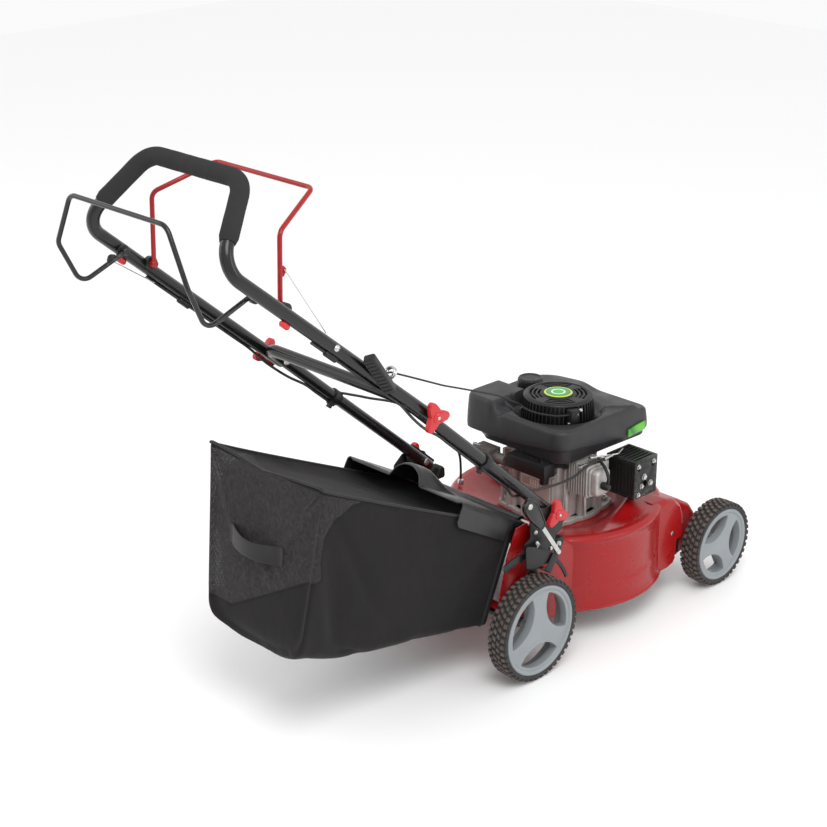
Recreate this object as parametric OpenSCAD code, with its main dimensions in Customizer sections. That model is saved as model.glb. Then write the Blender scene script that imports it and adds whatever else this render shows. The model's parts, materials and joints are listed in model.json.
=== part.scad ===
// Walk-behind petrol lawn mower with a steel deck, folding handle and grass bag.
// Drawn in millimetres: +X is the operator's right, +Y is forward, +Z is up.
// Every module works from the ground point under the rear wheels; stand() then
// moves the finished sub-part so that the origin is the middle of the footprint.

/* [Overall] */
// Distance between the front and rear wheel centres
wheelbase = 555; // [545:1:565]
// Outside width over the wheels
track_w = 456; // [452:1:464]
// Height of the deck's lower rim above the ground
rim_z = 60; // [55:1:65]

/* [Wheels] */
// Radius of the rear tyres
rear_r = 101.5; // [99:0.5:102]
// Radius of the front tyres
front_r = 89; // [87:0.5:90]
// Width of each tyre
tyre_w = 43.5; // [40:0.5:43.5]
// Height of the tyre's rubber over the rim
rubber = 13; // [11:0.5:15]

/* [Deck] */
// Radius of the deck's skirt
deck_r = 211; // [208:1:212]
// Height of the engine seat above the ground
seat_z = 219; // [217:1:220]
// Thickness of the pressed steel
steel_t = 2.2; // [1.6:0.1:2.6]

/* [Handle] */
// Radius of the handle tubes
tube_r = 11; // [10:0.5:11]
// Wall of the handle tubes
tube_t = 1.4; // [1.2:0.1:2]
// Radius of the foam grip
foam_r = 15; // [14:0.5:16]
// Radius of the bail wire
wire_r = 4; // [3:0.5:4]

/* [Cutter] */
// Tip radius of the blade
blade_r = 198; // [180:1:200]
// Width of the blade
blade_w = 52; // [45:1:56]

/* [Hidden] */
$fn = 48;

// Gap left between pieces that lie on each other
gap = 0.3;
// Radial play of a shaft in its bore
play = 0.08;
// Overcut that keeps a cut's face off the face it opens
cut = 1;
// Straight runs reach this far into a bend, which is thicker than they are by this share
lap = 0.6;
swell = 1.014;

// Wheels: inner and outer faces of the right-hand pair
wheel_x1 = track_w / 2;
wheel_x0 = wheel_x1 - tyre_w;
stub_r = 6;
stub_x = wheel_x1 - 13;
arm_x0 = 170;
arm_t = 4;

// Height adjuster: both axle bars turn ahead of or behind the wheels by one crank
crank = [28, -17.5];
rear_pin = [-crank.x, rear_r - crank.y];
front_pin = [wheelbase - crank.x, front_r - crank.y];
axle_r = 8;
link_up = 45;
link_x = -177;
pin_r = 3;

// Deck
deck_y = 292;
side_x = 160;
front_x = 166;
skin_x = 180;
mouth_low = [-48, 140];
hinge = [32, 287];
flap_rod_r = 4;

// Engine
crank_r = 12.5;
blade_z = 78;
cowl_z0 = 331;
cowl_z1 = 400;
recoil_r = 69;
recoil_z = 431;
tank_cap = [-112, 335];
oil_pos = [50, 198, 318];

// Handle points, right-hand side: [x, y, z]
base_pt = [165, 80, 300];
fold_lo = [171, -267, 599];
fold_hi = [195.5, -267, 599];
lower_top = [172, -305, 631.8];
upper_back = [173, -672, 935];
upper_top = [115, -577, 1040];
bend_r = 42;
lower_bend_r = 34;
bolt_r = 3.2;

// Bails, right-hand side
bail_x = 158;
red_pin = [-548, 842];
black_pin = [-604, 875];
black_reach = 727;
pivot_r = 3.5;

// Flap and bag
flap_a = atan2(90, 160);
flap_len = 184;
flap_x = 152;
flap_t = 3;
skirt_h = 45;
bag_front_x = 147;
bag_t = 2.5;
bag_top_f = [12, 288];
bag_low_f = [-65, 106];
bag_top_r = [-457, 505];
bag_low_r = [-500, 195];
bag_rear_x = 150;
bag_low_x = 127;

// Middle of the footprint: the front tyres to the back of the drive bail
mid_y = (wheelbase + front_r - black_reach - wire_r) / 2;

// ---------------------------------------------------------------- helpers

function unit(v) = v / norm(v);
function flip(p) = [-p.x, p.y, p.z];
function mix(a, b, t) = a + (b - a) * t;
// Point on a circle in the side view
function polar(c, r, a) = [c.x + r * cos(a), c.y + r * sin(a)];

module stand() translate([0, -mid_y, 0]) children();
module both() { children(); mirror([1, 0, 0]) children(); }

// Places local +Z along the line from a to b
module along(a, b) {
  d = b - a;
  translate(a) rotate([0, acos(d.z / norm(d)), atan2(d.y, d.x)]) children();
}
module bar(a, b, r) along(a, b) cylinder(r = r, h = norm(b - a));
// Cylinder along X at side-view point p
module xbar(x0, x1, p, r) translate([x0, p.x, p.y]) rotate([0, 90, 0]) cylinder(r = r, h = x1 - x0);
// Side-view outline given thickness along X
module slab(x0, x1, pts) translate([x0, 0, 0]) rotate([90, 0, 90]) linear_extrude(x1 - x0) polygon(pts);
module block(lo, hi) translate(lo) cube(hi - lo);

// Tangent length and centre of the bend at b between a and c
function tangent(a, b, c, r) = r / tan(acos(unit(a - b) * unit(c - b)) / 2);
function bend_mid(a, b, c, r) =
  b + unit(unit(a - b) + unit(c - b)) * r / sin(acos(unit(a - b) * unit(c - b)) / 2);

// Round bar bent with radius r at each inner point
module bent(pts, r, rod_r) {
  last = len(pts) - 1;
  for (i = [0 : last - 1]) {
    d = unit(pts[i + 1] - pts[i]);
    t0 = i == 0 ? lap : tangent(pts[i - 1], pts[i], pts[i + 1], r);
    t1 = i == last - 1 ? lap : tangent(pts[i], pts[i + 1], pts[i + 2], r);
    bar(pts[i] + d * (t0 - lap), pts[i + 1] - d * (t1 - lap), rod_r);
  }
  for (i = [1 : last - 1]) elbow(pts[i - 1], pts[i], pts[i + 1], r, rod_r * swell);
}
module elbow(a, b, c, r, rod_r) {
  t = tangent(a, b, c, r);
  o = bend_mid(a, b, c, r);
  s = b + unit(a - b) * t;
  e = b + unit(c - b) * t;
  ex = unit(s - o);
  ez = unit(cross(s - o, e - o));
  ey = cross(ez, ex);
  turn = 180 - acos(unit(a - b) * unit(c - b));
  multmatrix([
    [ex.x, ey.x, ez.x, o.x],
    [ex.y, ey.y, ez.y, o.y],
    [ex.z, ey.z, ez.z, o.z],
    [0, 0, 0, 1]
  ]) rotate_extrude(angle = turn) translate([r, 0]) circle(r = rod_r);
}
// The same points with both ends moved outwards
function longer(p, e) = [for (i = [0 : len(p) - 1])
  i == 0 ? p[0] + unit(p[0] - p[1]) * e :
  i == len(p) - 1 ? p[i] + unit(p[i] - p[i - 1]) * e : p[i]];
module bent_tube(pts, r, outer, inner) difference() {
  bent(pts, r, outer);
  bent(longer(pts, cut), r, inner);
}

// Sheet outline: a path closed by its own copy t to the right of its travel
function side_step(p, i, t) = let (
  a = i == 0 ? p[1] - p[0] : p[i] - p[i - 1],
  b = i == len(p) - 1 ? a : p[i + 1] - p[i],
  n = unit(unit(a) + unit(b)),
  s = t / (n * unit(b))
) p[i] + [n.y, -n.x] * s;
function sheet(p, t) = concat(p, [for (i = [len(p) - 1 : -1 : 0]) side_step(p, i, t)]);

// Flexible cord swept along its points with eight sides
function cord_dir(p, i) = unit(p[min(i + 1, len(p) - 1)] - p[max(i - 1, 0)]);
function cord_ring(p, i, r, up) = let (
  t = cord_dir(p, i), a = unit(cross(t, up)), b = cross(t, a)
) [for (k = [0 : 7]) p[i] + a * r * cos(k * 45) + b * r * sin(k * 45)];
module cord(p, r, up) {
  n = len(p);
  rings = [for (i = [0 : n - 1]) each cord_ring(p, i, r, up)];
  walls = [for (i = [0 : n - 2], k = [0 : 7])
    [i * 8 + k, (i + 1) * 8 + k, (i + 1) * 8 + (k + 1) % 8, i * 8 + (k + 1) % 8]];
  caps = [[for (k = [0 : 7]) k], [for (k = [7 : -1 : 0]) (n - 1) * 8 + k]];
  polyhedron(points = rings, faces = concat(walls, caps), convexity = 6);
}

// Box hull of a four-corner side profile whose ends have their own half-widths
module loft(tf, lf, tr, lr, xf, xt, xl) hull() polyhedron(
  points = [
    [-xf, tf.x, tf.y], [xf, tf.x, tf.y], [-xf, lf.x, lf.y], [xf, lf.x, lf.y],
    [-xt, tr.x, tr.y], [xt, tr.x, tr.y], [-xl, lr.x, lr.y], [xl, lr.x, lr.y]
  ],
  faces = [[0, 1, 3, 2], [4, 6, 7, 5], [0, 4, 5, 1], [2, 3, 7, 6], [0, 2, 6, 4], [1, 5, 7, 3]]
);

// ---------------------------------------------------------------- deck

module deck_bowl() translate([0, deck_y, 0]) {
  rotate_extrude($fn = 96) polygon(sheet([
    [deck_r + 3, rim_z + 4], [deck_r, rim_z + 12], [deck_r, seat_z - 23], [deck_r + 3, seat_z - 18],
    [deck_r + 3, seat_z - 11], [deck_r - 1, seat_z - 5], [deck_r - 15, seat_z - 2],
    [deck_r - 39, seat_z], [deck_r - 49, seat_z + 8], [deck_r - 71, seat_z + 12],
    [deck_r - 83, seat_z + 7], [deck_r - 89, seat_z], [45, seat_z]
  ], -steel_t));
  rotate_extrude($fn = 96) translate([deck_r + 3, rim_z + 3.5]) circle(r = 3.5);
}
// Side view of the discharge tunnel between its floor and roof
tunnel = [
  [158, seat_z - 6], [42, 281], [26, 281], mouth_low + [4, 3], [-20, 139], [82, 76], [130, 76]
];
module deck_side() slab(side_x, side_x + 3, [
  [-46, 98], [-54, 118], [24, 293], [38, 296], [46, 291], [112, seat_z + 4],
  [158, seat_z - 8], [158, 75], [110, 66], [30, 78], [-30, 96]
]);
module deck_front() {
  slab(front_x, front_x + 2.5, [
    [414, 66], [414, 205], [470, 198], [512, 174], [540, 138], [548, 106], [540, 88], [500, 80], [452, 66]
  ]);
  slab(skin_x, skin_x + 2.5, [
    [398, 66], [398, 198], [440, 196], [462, 188], [476, 172], [478, 150], [474, 118],
    [452, 114], [452, 84], [446, 66]
  ]);
}
module deck_front_roof() difference() {
  union() {
    slab(96, skin_x + 2.5, sheet([[398, 208], [440, 205], [466, 195], [482, 174], [484, 150]], steel_t));
    slab(90, front_x + 2.5, sheet([[440, 205], [482, 194], [518, 173], [545, 138], [552, 106]], steel_t));
  }
  translate([0, deck_y, 0]) cylinder(r = deck_r - 1, h = 300, $fn = 96);
}
module deck_shell() color("firebrick") difference() {
  union() {
    difference() {
      deck_bowl();
      slab(-side_x, side_x, tunnel);
      slab(-side_x, side_x, [[60, 60], [60, 75], [82, 75], [82, 60]]);
    }
    both() deck_side();
    both() deck_front();
    both() deck_front_roof();
    slab(-side_x - 1, side_x + 1, sheet([
      [160, seat_z - 2], [120, seat_z + 8], [46, 283], [44, 288]
    ], -steel_t));
    slab(-side_x - 1, side_x + 1, sheet([mouth_low, [-20, 136], [80, 74], [84, 62]], steel_t));
  }
  xbar(-200, 200, rear_pin, axle_r + 1);
  xbar(-200, 200, front_pin, axle_r + 1);
  xbar(-200, 200, hinge, flap_rod_r + play);
  both() xbar(skin_x - cut, skin_x + 4, [442, 137], bolt_r + play);
  both() xbar(side_x - cut, side_x + 4, [94, 232], bolt_r + play);
  for (a = [45 : 90 : 315]) translate([0, deck_y, 0]) rotate(a)
    translate([98, 0, seat_z - 6]) cylinder(r = 4.2, h = 20);
  block([-184, 60, 128], [-174.2, 397, 170]);
  block([-skin_x, 390, 128], [-174.2, 490, 170]);
}

// ---------------------------------------------------------------- running gear

module axle_bearings() color("black") {
  both() difference() {
    union() {
      xbar(side_x + 3, arm_x0 - gap, rear_pin, 15);
      xbar(front_x - 6, front_x, front_pin, 15);
    }
    xbar(0, 200, rear_pin, axle_r + play);
    xbar(0, 200, front_pin, axle_r + play);
  }
  both() block([174.5, 452.3, 86], [skin_x - gap, 470, 112]);
}
// One cranked axle: cross bar, arms and wheel stubs
module axle(pin, hub) {
  xbar(-arm_x0 - arm_t, arm_x0 + arm_t, pin, axle_r);
  both() {
    xbar(arm_x0, arm_x0 + arm_t, pin, 13);
    xbar(arm_x0, arm_x0 + arm_t, hub, 11);
    translate([arm_x0, pin.x, pin.y])
      rotate([atan2(hub.y - pin.y, hub.x - pin.x), 0, 0])
        translate([0, 0, -9]) cube([arm_t, norm(hub - pin), 18]);
    xbar(arm_x0, stub_x, hub, stub_r);
    xbar(arm_x0 + arm_t, wheel_x0 - gap, hub, 9);
  }
  translate([-arm_x0 - arm_t, pin.x - 6, pin.y]) cube([arm_t, 12, link_up]);
  xbar(-arm_x0 - arm_t, -arm_x0, [pin.x, pin.y + link_up], 6);
  xbar(link_x - 2.5, -arm_x0, [pin.x, pin.y + link_up], pin_r);
}
module rear_axle() color("dimgray") axle(rear_pin, [0, rear_r]);
module front_axle() color("dimgray") axle(front_pin, [wheelbase, front_r]);
module link_rod() color("silver") difference() {
  a = rear_pin + [0, link_up];
  b = front_pin + [0, link_up];
  eye = 7;
  union() {
    bar([link_x, a.x + eye - 1, a.y], [link_x, b.x - eye + 1, b.y], 2.5);
    for (p = [a, b]) xbar(link_x - 2.5, link_x + 2.5, p, eye);
  }
  xbar(link_x - 5, link_x + 5, a, pin_r + play);
  xbar(link_x - 5, link_x + 5, b, pin_r + 0.6);
}

// The wheel modules stand on the wheel's centre with the outer face towards +X
module tyre(r) color("#3b3938") rotate([0, 90, 0]) rotate_extrude($fn = 96) polygon([
  [r - rubber, 2], [r - rubber + 4, 0], [r - 6, 1], [r - 1.5, 5], [r, 12], [r, tyre_w - 12],
  [r - 1.5, tyre_w - 5], [r - 6, tyre_w - 1], [r - rubber + 4, tyre_w], [r - rubber, tyre_w - 2]
]);
module rim(r, turn) color("#80868a") {
  seat = r - rubber - gap;
  web_r = seat - 9;
  difference() {
    union() {
      rotate([0, 90, 0]) rotate_extrude($fn = 96) polygon([
        [seat, 3], [seat, tyre_w - 2], [seat - 4, tyre_w - 0.5], [seat - 8, tyre_w - 2],
        [seat - 10, tyre_w - 8], [seat - 6, tyre_w - 12], [seat - 3, tyre_w - 18], [seat - 3, 3]
      ]);
      translate([tyre_w - 12, 0, 0]) rotate([0, 90, 0]) cylinder(r = web_r + 1, h = 6, $fn = 96);
      translate([2, 0, 0]) rotate([0, 90, 0]) cylinder(r = 15, h = tyre_w - 8);
    }
    for (a = [0 : 120 : 240]) rotate([a + turn, 0, 0]) translate([tyre_w - 20, 0, 0])
      rotate([90, 0, 90]) linear_extrude(20) intersection() {
        translate([0, web_r * 1.12]) circle(r = web_r * 0.78, $fn = 64);
        circle(r = web_r - 4, $fn = 96);
      }
    translate([-cut, 0, 0]) rotate([0, 90, 0]) cylinder(r = stub_r + play, h = tyre_w - 11 + cut);
  }
}
module at_wheel(side, y, r) translate([side * wheel_x0, y, r]) mirror([side < 0 ? 1 : 0, 0, 0]) children();

// Lever: inner plate, step over the tyre, outer strip that leans back to the grip
lever_dir = unit([92, 116.5]);
lever_step = rear_pin + lever_dir * 108;
lever_bend = rear_pin + lever_dir * 148;
lever_top = [-20, 352];
module strip(x0, x1, a, b, w) {
  side = unit([a.y - b.y, b.x - a.x]) * w / 2;
  slab(x0, x1, [a + side, a - side, b - side, b + side]);
}
module height_lever() color("silver") {
  inner_x = arm_x0 + arm_t + gap;
  strip(inner_x, inner_x + 3, rear_pin + lever_dir * 14, lever_step + lever_dir * 4, 20);
  strip(inner_x + 1, 209, lever_step - lever_dir * 2, lever_step + lever_dir * 3, 18);
  strip(207, 210, lever_step - lever_dir * 3, lever_bend, 20);
  xbar(207, 210, lever_bend, 11);
  strip(207, 210, lever_bend, lever_top, 10);
}
module lever_grip() color("#1c1c1d") difference() {
  grip_d = unit(lever_top - lever_bend);
  union() {
    strip(204.2, 215.8, lever_top - grip_d * 54, lever_top + grip_d * 6, 22);
    xbar(204.2, 215.8, lever_top + grip_d * 6, 12.5);
  }
  strip(207 - gap, 210 + gap, lever_top - grip_d * 60, lever_top + grip_d * gap, 10 + 2 * gap);
}
module height_quadrant() color("#222223") difference() {
  union() {
    xbar(190, 194, rear_pin, 151);
    slab(skin_x, 194, [
      polar(rear_pin, 145, 78), polar(rear_pin, 152, 78), polar(rear_pin, 152, 58), polar(rear_pin, 145, 58)
    ]);
  }
  xbar(178, 200, rear_pin, 139);
  slab(178, 200, concat([rear_pin], [for (a = [104 : 16 : 376]) polar(rear_pin, 220, a)]));
  for (a = [32 : 12 : 100]) xbar(178, 200, polar(rear_pin, 139, a), 3.5);
}

// ---------------------------------------------------------------- handle mounts

module handle_bracket() {
  slab(177, 180, [
    [70, seat_z + 4], [118, seat_z + 4], [112, 290], [99, 312], [80, 318], [62, 312], [52, 292],
    [20, 272], [12, 262], [30, 258], [62, 262]
  ]);
  block([side_x + 3, 76, seat_z + 3], [177.2, 114, seat_z + 21]);
}
module handle_brackets() color("#1d1d1e") difference() {
  both() handle_bracket();
  for (s = [-1, 1]) xbar(s * 165 - 30, s * 165 + 30, [base_pt.y, base_pt.z], bolt_r + play);
  for (s = [-1, 1]) xbar(s * 165 - 30, s * 165 + 30, [94, 232], bolt_r + play);
}
module carriage_bolt(x0, x1, p) {
  xbar(x0, x1, p, bolt_r);
  xbar(x0 - 3, x0, p, 7);
}
module fasteners() color("silver") {
  both() {
    carriage_bolt(153.4, 196, [base_pt.y, base_pt.z]);
    carriage_bolt(side_x - gap, 186, [94, 232]);
    xbar(180 + gap, 184, [94, 232], 6);
    xbar(skin_x, skin_x + 3, [442, 137], bolt_r);
    xbar(skin_x + 2.5 + gap, skin_x + 4, [442, 137], 5);
  }
  for (a = [45 : 90 : 315]) translate([0, deck_y, 0]) rotate(a) translate([98, 0, 0]) {
    translate([0, 0, seat_z - 8]) cylinder(r = 4, h = 28);
    translate([0, 0, seat_z + 10.8]) cylinder(r = 7.5, h = 6, $fn = 6);
  }
  translate([-158, 183, seat_z - 0.8]) cylinder(r = 6, h = 9.6);
}

// ---------------------------------------------------------------- engine

module crankcase() color("#8f857f") translate([0, deck_y, 0]) difference() {
  union() {
    translate([0, 0, seat_z + gap]) cylinder(r = 88, h = 10.7);
    for (a = [45 : 90 : 315]) rotate(a) translate([98, 0, seat_z + gap]) cylinder(r = 13, h = 10.7);
    for (a = [45 : 90 : 315]) rotate(a) translate([82, -12, seat_z + gap]) cube([16, 24, 10.7]);
    translate([0, 0, seat_z + 10]) cylinder(r = 80, h = 78);
    translate([-84, -66, seat_z + 10]) cube([160, 90, 78]);
    translate([-10, -88, seat_z + 20]) cube([70, 30, 56]);
    translate([56, -50, seat_z + 32]) cube([24, 68, 55]);
    for (x = [-68, -46, 40, 62]) translate([x - 2, -84, seat_z + 10]) cube([4, 30, 60]);
    translate([0, 0, seat_z + 80]) cylinder(r = 30, h = 32);
  }
  translate([0, 0, seat_z + 24]) cylinder(r = 62, h = 54);
  translate([0, 0, seat_z - cut]) cylinder(r = crank_r + play, h = 140);
  for (a = [45 : 90 : 315]) rotate(a) translate([98, 0, seat_z - cut]) cylinder(r = 4.1, h = 20);
  for (a = [45 : 90 : 315]) rotate(a) translate([98, 0, seat_z + 10.5]) cylinder(r = 9.5, h = 90);
  translate([oil_pos.x, oil_pos.y - deck_y, seat_z + 50]) cylinder(r = 8 + play, h = 40);
}
module cylinder_block() color("#9a938d") {
  translate([80.3, 276, 285]) rotate([0, 90, 0]) cylinder(r = 34, h = 52);
  for (i = [0 : 7]) translate([82 + i * 6.4, 234, 246]) cube([2.6, 84, 80]);
}
module rocker_cover() color("#a39c96") {
  block([132.6, 238, 250], [140, 314, 322]);
  block([140, 244, 256], [152, 308, 316]);
}
module spark_plug() color("#262627") {
  xbar(152.3, 172, [262, 286], 4.5);
  xbar(156, 178, [262, 286], 9);
  bar([170, 262, 286], [170, 284, 318], 3.5);
}
module carburettor() color("#5d5a58") {
  block([-112, 168, 286], [-66, 200, 322]);
  xbar(-66, -40, [188, 304], 11);
}
module air_filter_box() color("#1f1d1d") difference() {
  block([-24, 172, 302], [74, 203, 330]);
  translate([oil_pos.x, oil_pos.y, 290]) cylinder(r = 14, h = 60);
}
module oil_plug() color("#141414") {
  translate([oil_pos.x, oil_pos.y, seat_z + 60]) cylinder(r = 8, h = 40);
  translate([oil_pos.x, oil_pos.y, seat_z + 76.4]) cylinder(r = 12, h = 14, $fn = 12);
}
cowl_outline = [
  [-156, 214], [-142, 191], [82, 188], [102, 204], [106, 250], [106, 440], [92, 454], [-80, 456],
  [-128, 440], [-156, 390]
];
module cowl_body(inset, z0, z1) translate([0, 0, z0]) linear_extrude(z1 - z0)
  polygon(sheet_in(cowl_outline, inset));
// A closed outline moved inwards; its corners run anticlockwise from the left
function sheet_in(p, t) = let (n = len(p)) [for (i = [0 : n - 1]) let (
  a = unit(p[i] - p[(i + n - 1) % n]),
  b = unit(p[(i + 1) % n] - p[i]),
  m = unit(a + b)
) p[i] + [-m.y, m.x] * t / (m * b)];
module engine_cowl() color("#434345") difference() {
  union() {
    cowl_body(0, cowl_z0 + 22, cowl_z1 - 16);
    cowl_body(5, cowl_z1 - 16, cowl_z1);
    cowl_body(4, cowl_z0, cowl_z0 + 22);
  }
  cowl_body(8, cowl_z0 - cut, cowl_z1 - 3);
  translate([0, deck_y, cowl_z1 - 10]) cylinder(r = recoil_r - 3, h = 20, $fn = 96);
  translate([tank_cap.x, tank_cap.y, cowl_z1 - 10]) cylinder(r = 19, h = 20);
}
module fuel_tank() color("#d8d4c8") difference() {
  union() {
    block([-144, 240, cowl_z0 + 8], [-86, 380, cowl_z1 - 4]);
    translate([tank_cap.x, tank_cap.y, cowl_z1 - 5]) cylinder(r = 17, h = 13);
  }
  block([-142, 242, cowl_z0 + 10], [-88, 378, cowl_z1 - 6]);
  translate([tank_cap.x, tank_cap.y, cowl_z1 - 8]) cylinder(r = 14, h = 30);
}
module fuel_cap() color("#2f2f31") translate([tank_cap.x, tank_cap.y, 0]) difference() {
  union() {
    translate([0, 0, cowl_z1 + 0.5]) cylinder(r = 26, h = 17);
    translate([0, 0, cowl_z1 + 17.5]) cylinder(r = 23, h = 4);
  }
  translate([0, 0, cowl_z1 - cut]) cylinder(r = 17 + play, h = 13);
}
module recoil_cover() color("#2b2b2d") translate([0, deck_y, 0]) difference() {
  union() {
    translate([0, 0, cowl_z1 + gap]) cylinder(r = recoil_r, h = 20, $fn = 96);
    translate([0, 0, cowl_z1 + 20]) cylinder(r = recoil_r - 4, h = recoil_z - cowl_z1 - 20, $fn = 96);
    translate([66, -30, cowl_z1 + gap]) cube([20, 14, 20]);
  }
  translate([0, 0, cowl_z1 - cut]) cylinder(r = recoil_r - 7, h = recoil_z - cowl_z1 - 2, $fn = 96);
  for (r = [38, 47, 56], a = [10 : 120 : 250]) rotate(a) translate([0, 0, recoil_z - 5])
    rotate_extrude(angle = 85) translate([r, 0]) square([4.5, 10]);
  for (a = [0 : 12 : 348]) rotate(a) translate([recoil_r - 8, -1.6, cowl_z1 + 4]) cube([20, 3.2, 14]);
}
module badges() color("limegreen") {
  translate([0, deck_y, recoil_z + gap]) cylinder(r = 28, h = 1.5);
  block([106 + gap, 398, 362], [107.6, 440, 380]);
  block([-8, 202.5, 266], [36, 203.7, 284]);
}
module muffler() color("#4a4340") {
  block([108, 332, 254], [166, 384, 312]);
  xbar(98, 108, [350, 290], 9);
}
module muffler_guard() color("#161617") difference() {
  block([102, 324, 244], [174, 392, 323]);
  block([105, 327, 247], [171, 389, 320]);
  for (i = [0 : 6]) block([109 + i * 9, 320, 252], [113.5 + i * 9, 326, 312]);
  for (i = [0 : 6]) block([109 + i * 9, 332, 319], [113.5 + i * 9, 384, 330]);
  xbar(90, 107, [350, 290], 11);
  xbar(168, 180, [352, 270], 10);
  for (y = [336, 378]) xbar(168, 180, [y, 306], 4);
}
module control_bracket() color("silver") {
  block([106, 262, 330.3], [124, 268, 333]);
  block([120, 214, 330.3], [124, 268, 333]);
  xbar(112, 120, [230, 326], 4);
}

// ---------------------------------------------------------------- rotating set

module crankshaft() color("silver") translate([0, deck_y, 0]) {
  translate([0, 0, blade_z + 6.3]) cylinder(r = crank_r, h = 252);
  translate([0, 0, blade_z + 258]) cylinder(r = 9, h = 38);
}
module flywheel() color("#77746f") translate([0, deck_y, 0]) difference() {
  union() {
    translate([0, 0, blade_z + 258.6]) cylinder(r = 62, h = 14);
    for (a = [0 : 30 : 330]) rotate(a) translate([34, -1.5, blade_z + 272]) cube([26, 3, 22]);
    translate([0, 0, blade_z + 258.6]) cylinder(r = 18, h = 26);
  }
  translate([0, 0, blade_z + 250]) cylinder(r = 9 + play, h = 60);
}
module blade_adapter() color("#4d4d4f") translate([0, deck_y, 0]) difference() {
  translate([0, 0, blade_z + 4.3]) cylinder(r = 26, h = 28);
  translate([0, 0, blade_z + 6]) cylinder(r = crank_r + play, h = 40);
  translate([0, 0, blade_z]) cylinder(r = 5 + play, h = 20);
}
module blade() color("#55575a") translate([0, deck_y, blade_z]) difference() {
  union() {
    translate([-blade_r, -blade_w / 2, 0]) cube([2 * blade_r, blade_w, 4]);
    for (a = [0, 180]) rotate(a) translate([120, -blade_w / 2, 4]) rotate([-24, 0, 0])
      translate([0, -16, -4]) cube([70, 18, 3.4]);
  }
  translate([0, 0, -10]) cylinder(r = 5 + play, h = 20);
}
module blade_bolt() color("silver") translate([0, deck_y, 0]) {
  translate([0, 0, blade_z - 10]) cylinder(r = 10, h = 9.7, $fn = 6);
  translate([0, 0, blade_z - 1]) cylinder(r = 5, h = 7);
}
module starter_pulley() color("#1a1a1b") translate([0, deck_y, 0]) difference() {
  union() {
    translate([0, 0, cowl_z1 + 2]) cylinder(r = 40, h = 2.5);
    translate([0, 0, cowl_z1 + 4]) cylinder(r = 34, h = 6);
    translate([0, 0, cowl_z1 + 10]) cylinder(r = 40, h = 2.5);
  }
  translate([0, 0, cowl_z1 - 2]) cylinder(r = 12, h = 30);
}

// ---------------------------------------------------------------- handle

base_end = base_pt + unit(base_pt - fold_lo) * 30;
fold_end = fold_hi + unit(fold_hi - upper_back) * 28;
lower_path = [base_end, lower_top, flip(lower_top), flip(base_end)];
upper_path = [fold_end, upper_back, upper_top, flip(upper_top), flip(upper_back), flip(fold_end)];
module pivot_holes(p) for (s = [-1, 1]) xbar(s * p.x - 20, s * p.x + 20, [p.y, p.z], bolt_r + play);
module lower_handle() color("#151516") difference() {
  bent_tube(lower_path, lower_bend_r, tube_r, tube_r - tube_t);
  pivot_holes(base_pt);
  pivot_holes(fold_lo);
}
module fold_bolts() color("silver") both()
  carriage_bolt(fold_lo.x - tube_r - gap, 224, [fold_lo.y, fold_lo.z]);
module clip(p, d) along(p - d * 9, p + d * 9) difference() {
  union() {
    cylinder(r = tube_r + 3, h = 18);
    translate([-6, -tube_r - 11, 2]) cube([12, 12, 14]);
  }
  translate([0, 0, -cut]) cylinder(r = tube_r + 0.1, h = 20);
}
module cable_clips() color("#1a1a1b") {
  clip(mix(base_end, lower_top, 0.49), unit(lower_top - base_end));
  clip(flip(mix(base_end, lower_top, 0.61)), unit(flip(lower_top) - flip(base_end)));
}
module upper_handle() color("#151516") difference() {
  bent_tube(upper_path, bend_r, tube_r, tube_r - tube_t);
  pivot_holes(fold_hi);
}
foam_from = upper_back + unit(upper_top - upper_back) * (tangent(fold_hi, upper_back, upper_top, bend_r) + 1);
module foam_grip() color("#4b4b4c")
  bent_tube([foam_from, upper_top, flip(upper_top), flip(foam_from)], bend_r, foam_r, tube_r + 0.15);
module bail_plate(p, tube_x) difference() {
  xbar(bail_x + wire_r + 0.5, tube_x - tube_r + 4, p, 11);
  xbar(bail_x, tube_x, p, pivot_r + play);
  bent(upper_path, bend_r, tube_r + 0.1);
}
function upper_at(y) = mix(fold_hi, upper_back, (y - fold_hi.y) / (upper_back.y - fold_hi.y));
module bail_brackets() color("#1b1b1c") both() {
  bail_plate(red_pin, upper_at(red_pin.x).x);
  bail_plate(black_pin, upper_at(black_pin.x).x);
}
// Centre of the wire loop that stands on the right-hand tube and guides the starter rope
guide_at = upper_at(-330) + [0, 14.4, 17.3];
module rope_guide() color("silver")
  along(guide_at, guide_at + upper_back - fold_hi) rotate_extrude() translate([9, 0]) circle(r = 2.2);
// Wing knob: hub and two wings, its base towards -X at the origin
module knob() color("#b32b2f") difference() {
  union() {
    rotate([0, 90, 0]) cylinder(r = 10, h = 22);
    for (a = [0, 180]) rotate([a, 0, 0]) translate([4, 0, -4.5]) wing();
  }
  translate([-cut, 0, 0]) rotate([0, 90, 0]) cylinder(r = bolt_r + play, h = 17 + cut);
}
module wing() linear_extrude(9) polygon([[0, 0], [0, 12], [6, 25], [18, 27], [18, 8], [14, 0]]);
module at_knob(side, x, p, turn) translate([side * x, p.y, p.z])
  mirror([side < 0 ? 1 : 0, 0, 0]) rotate([turn, 0, 0]) knob();

// ---------------------------------------------------------------- controls

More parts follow.
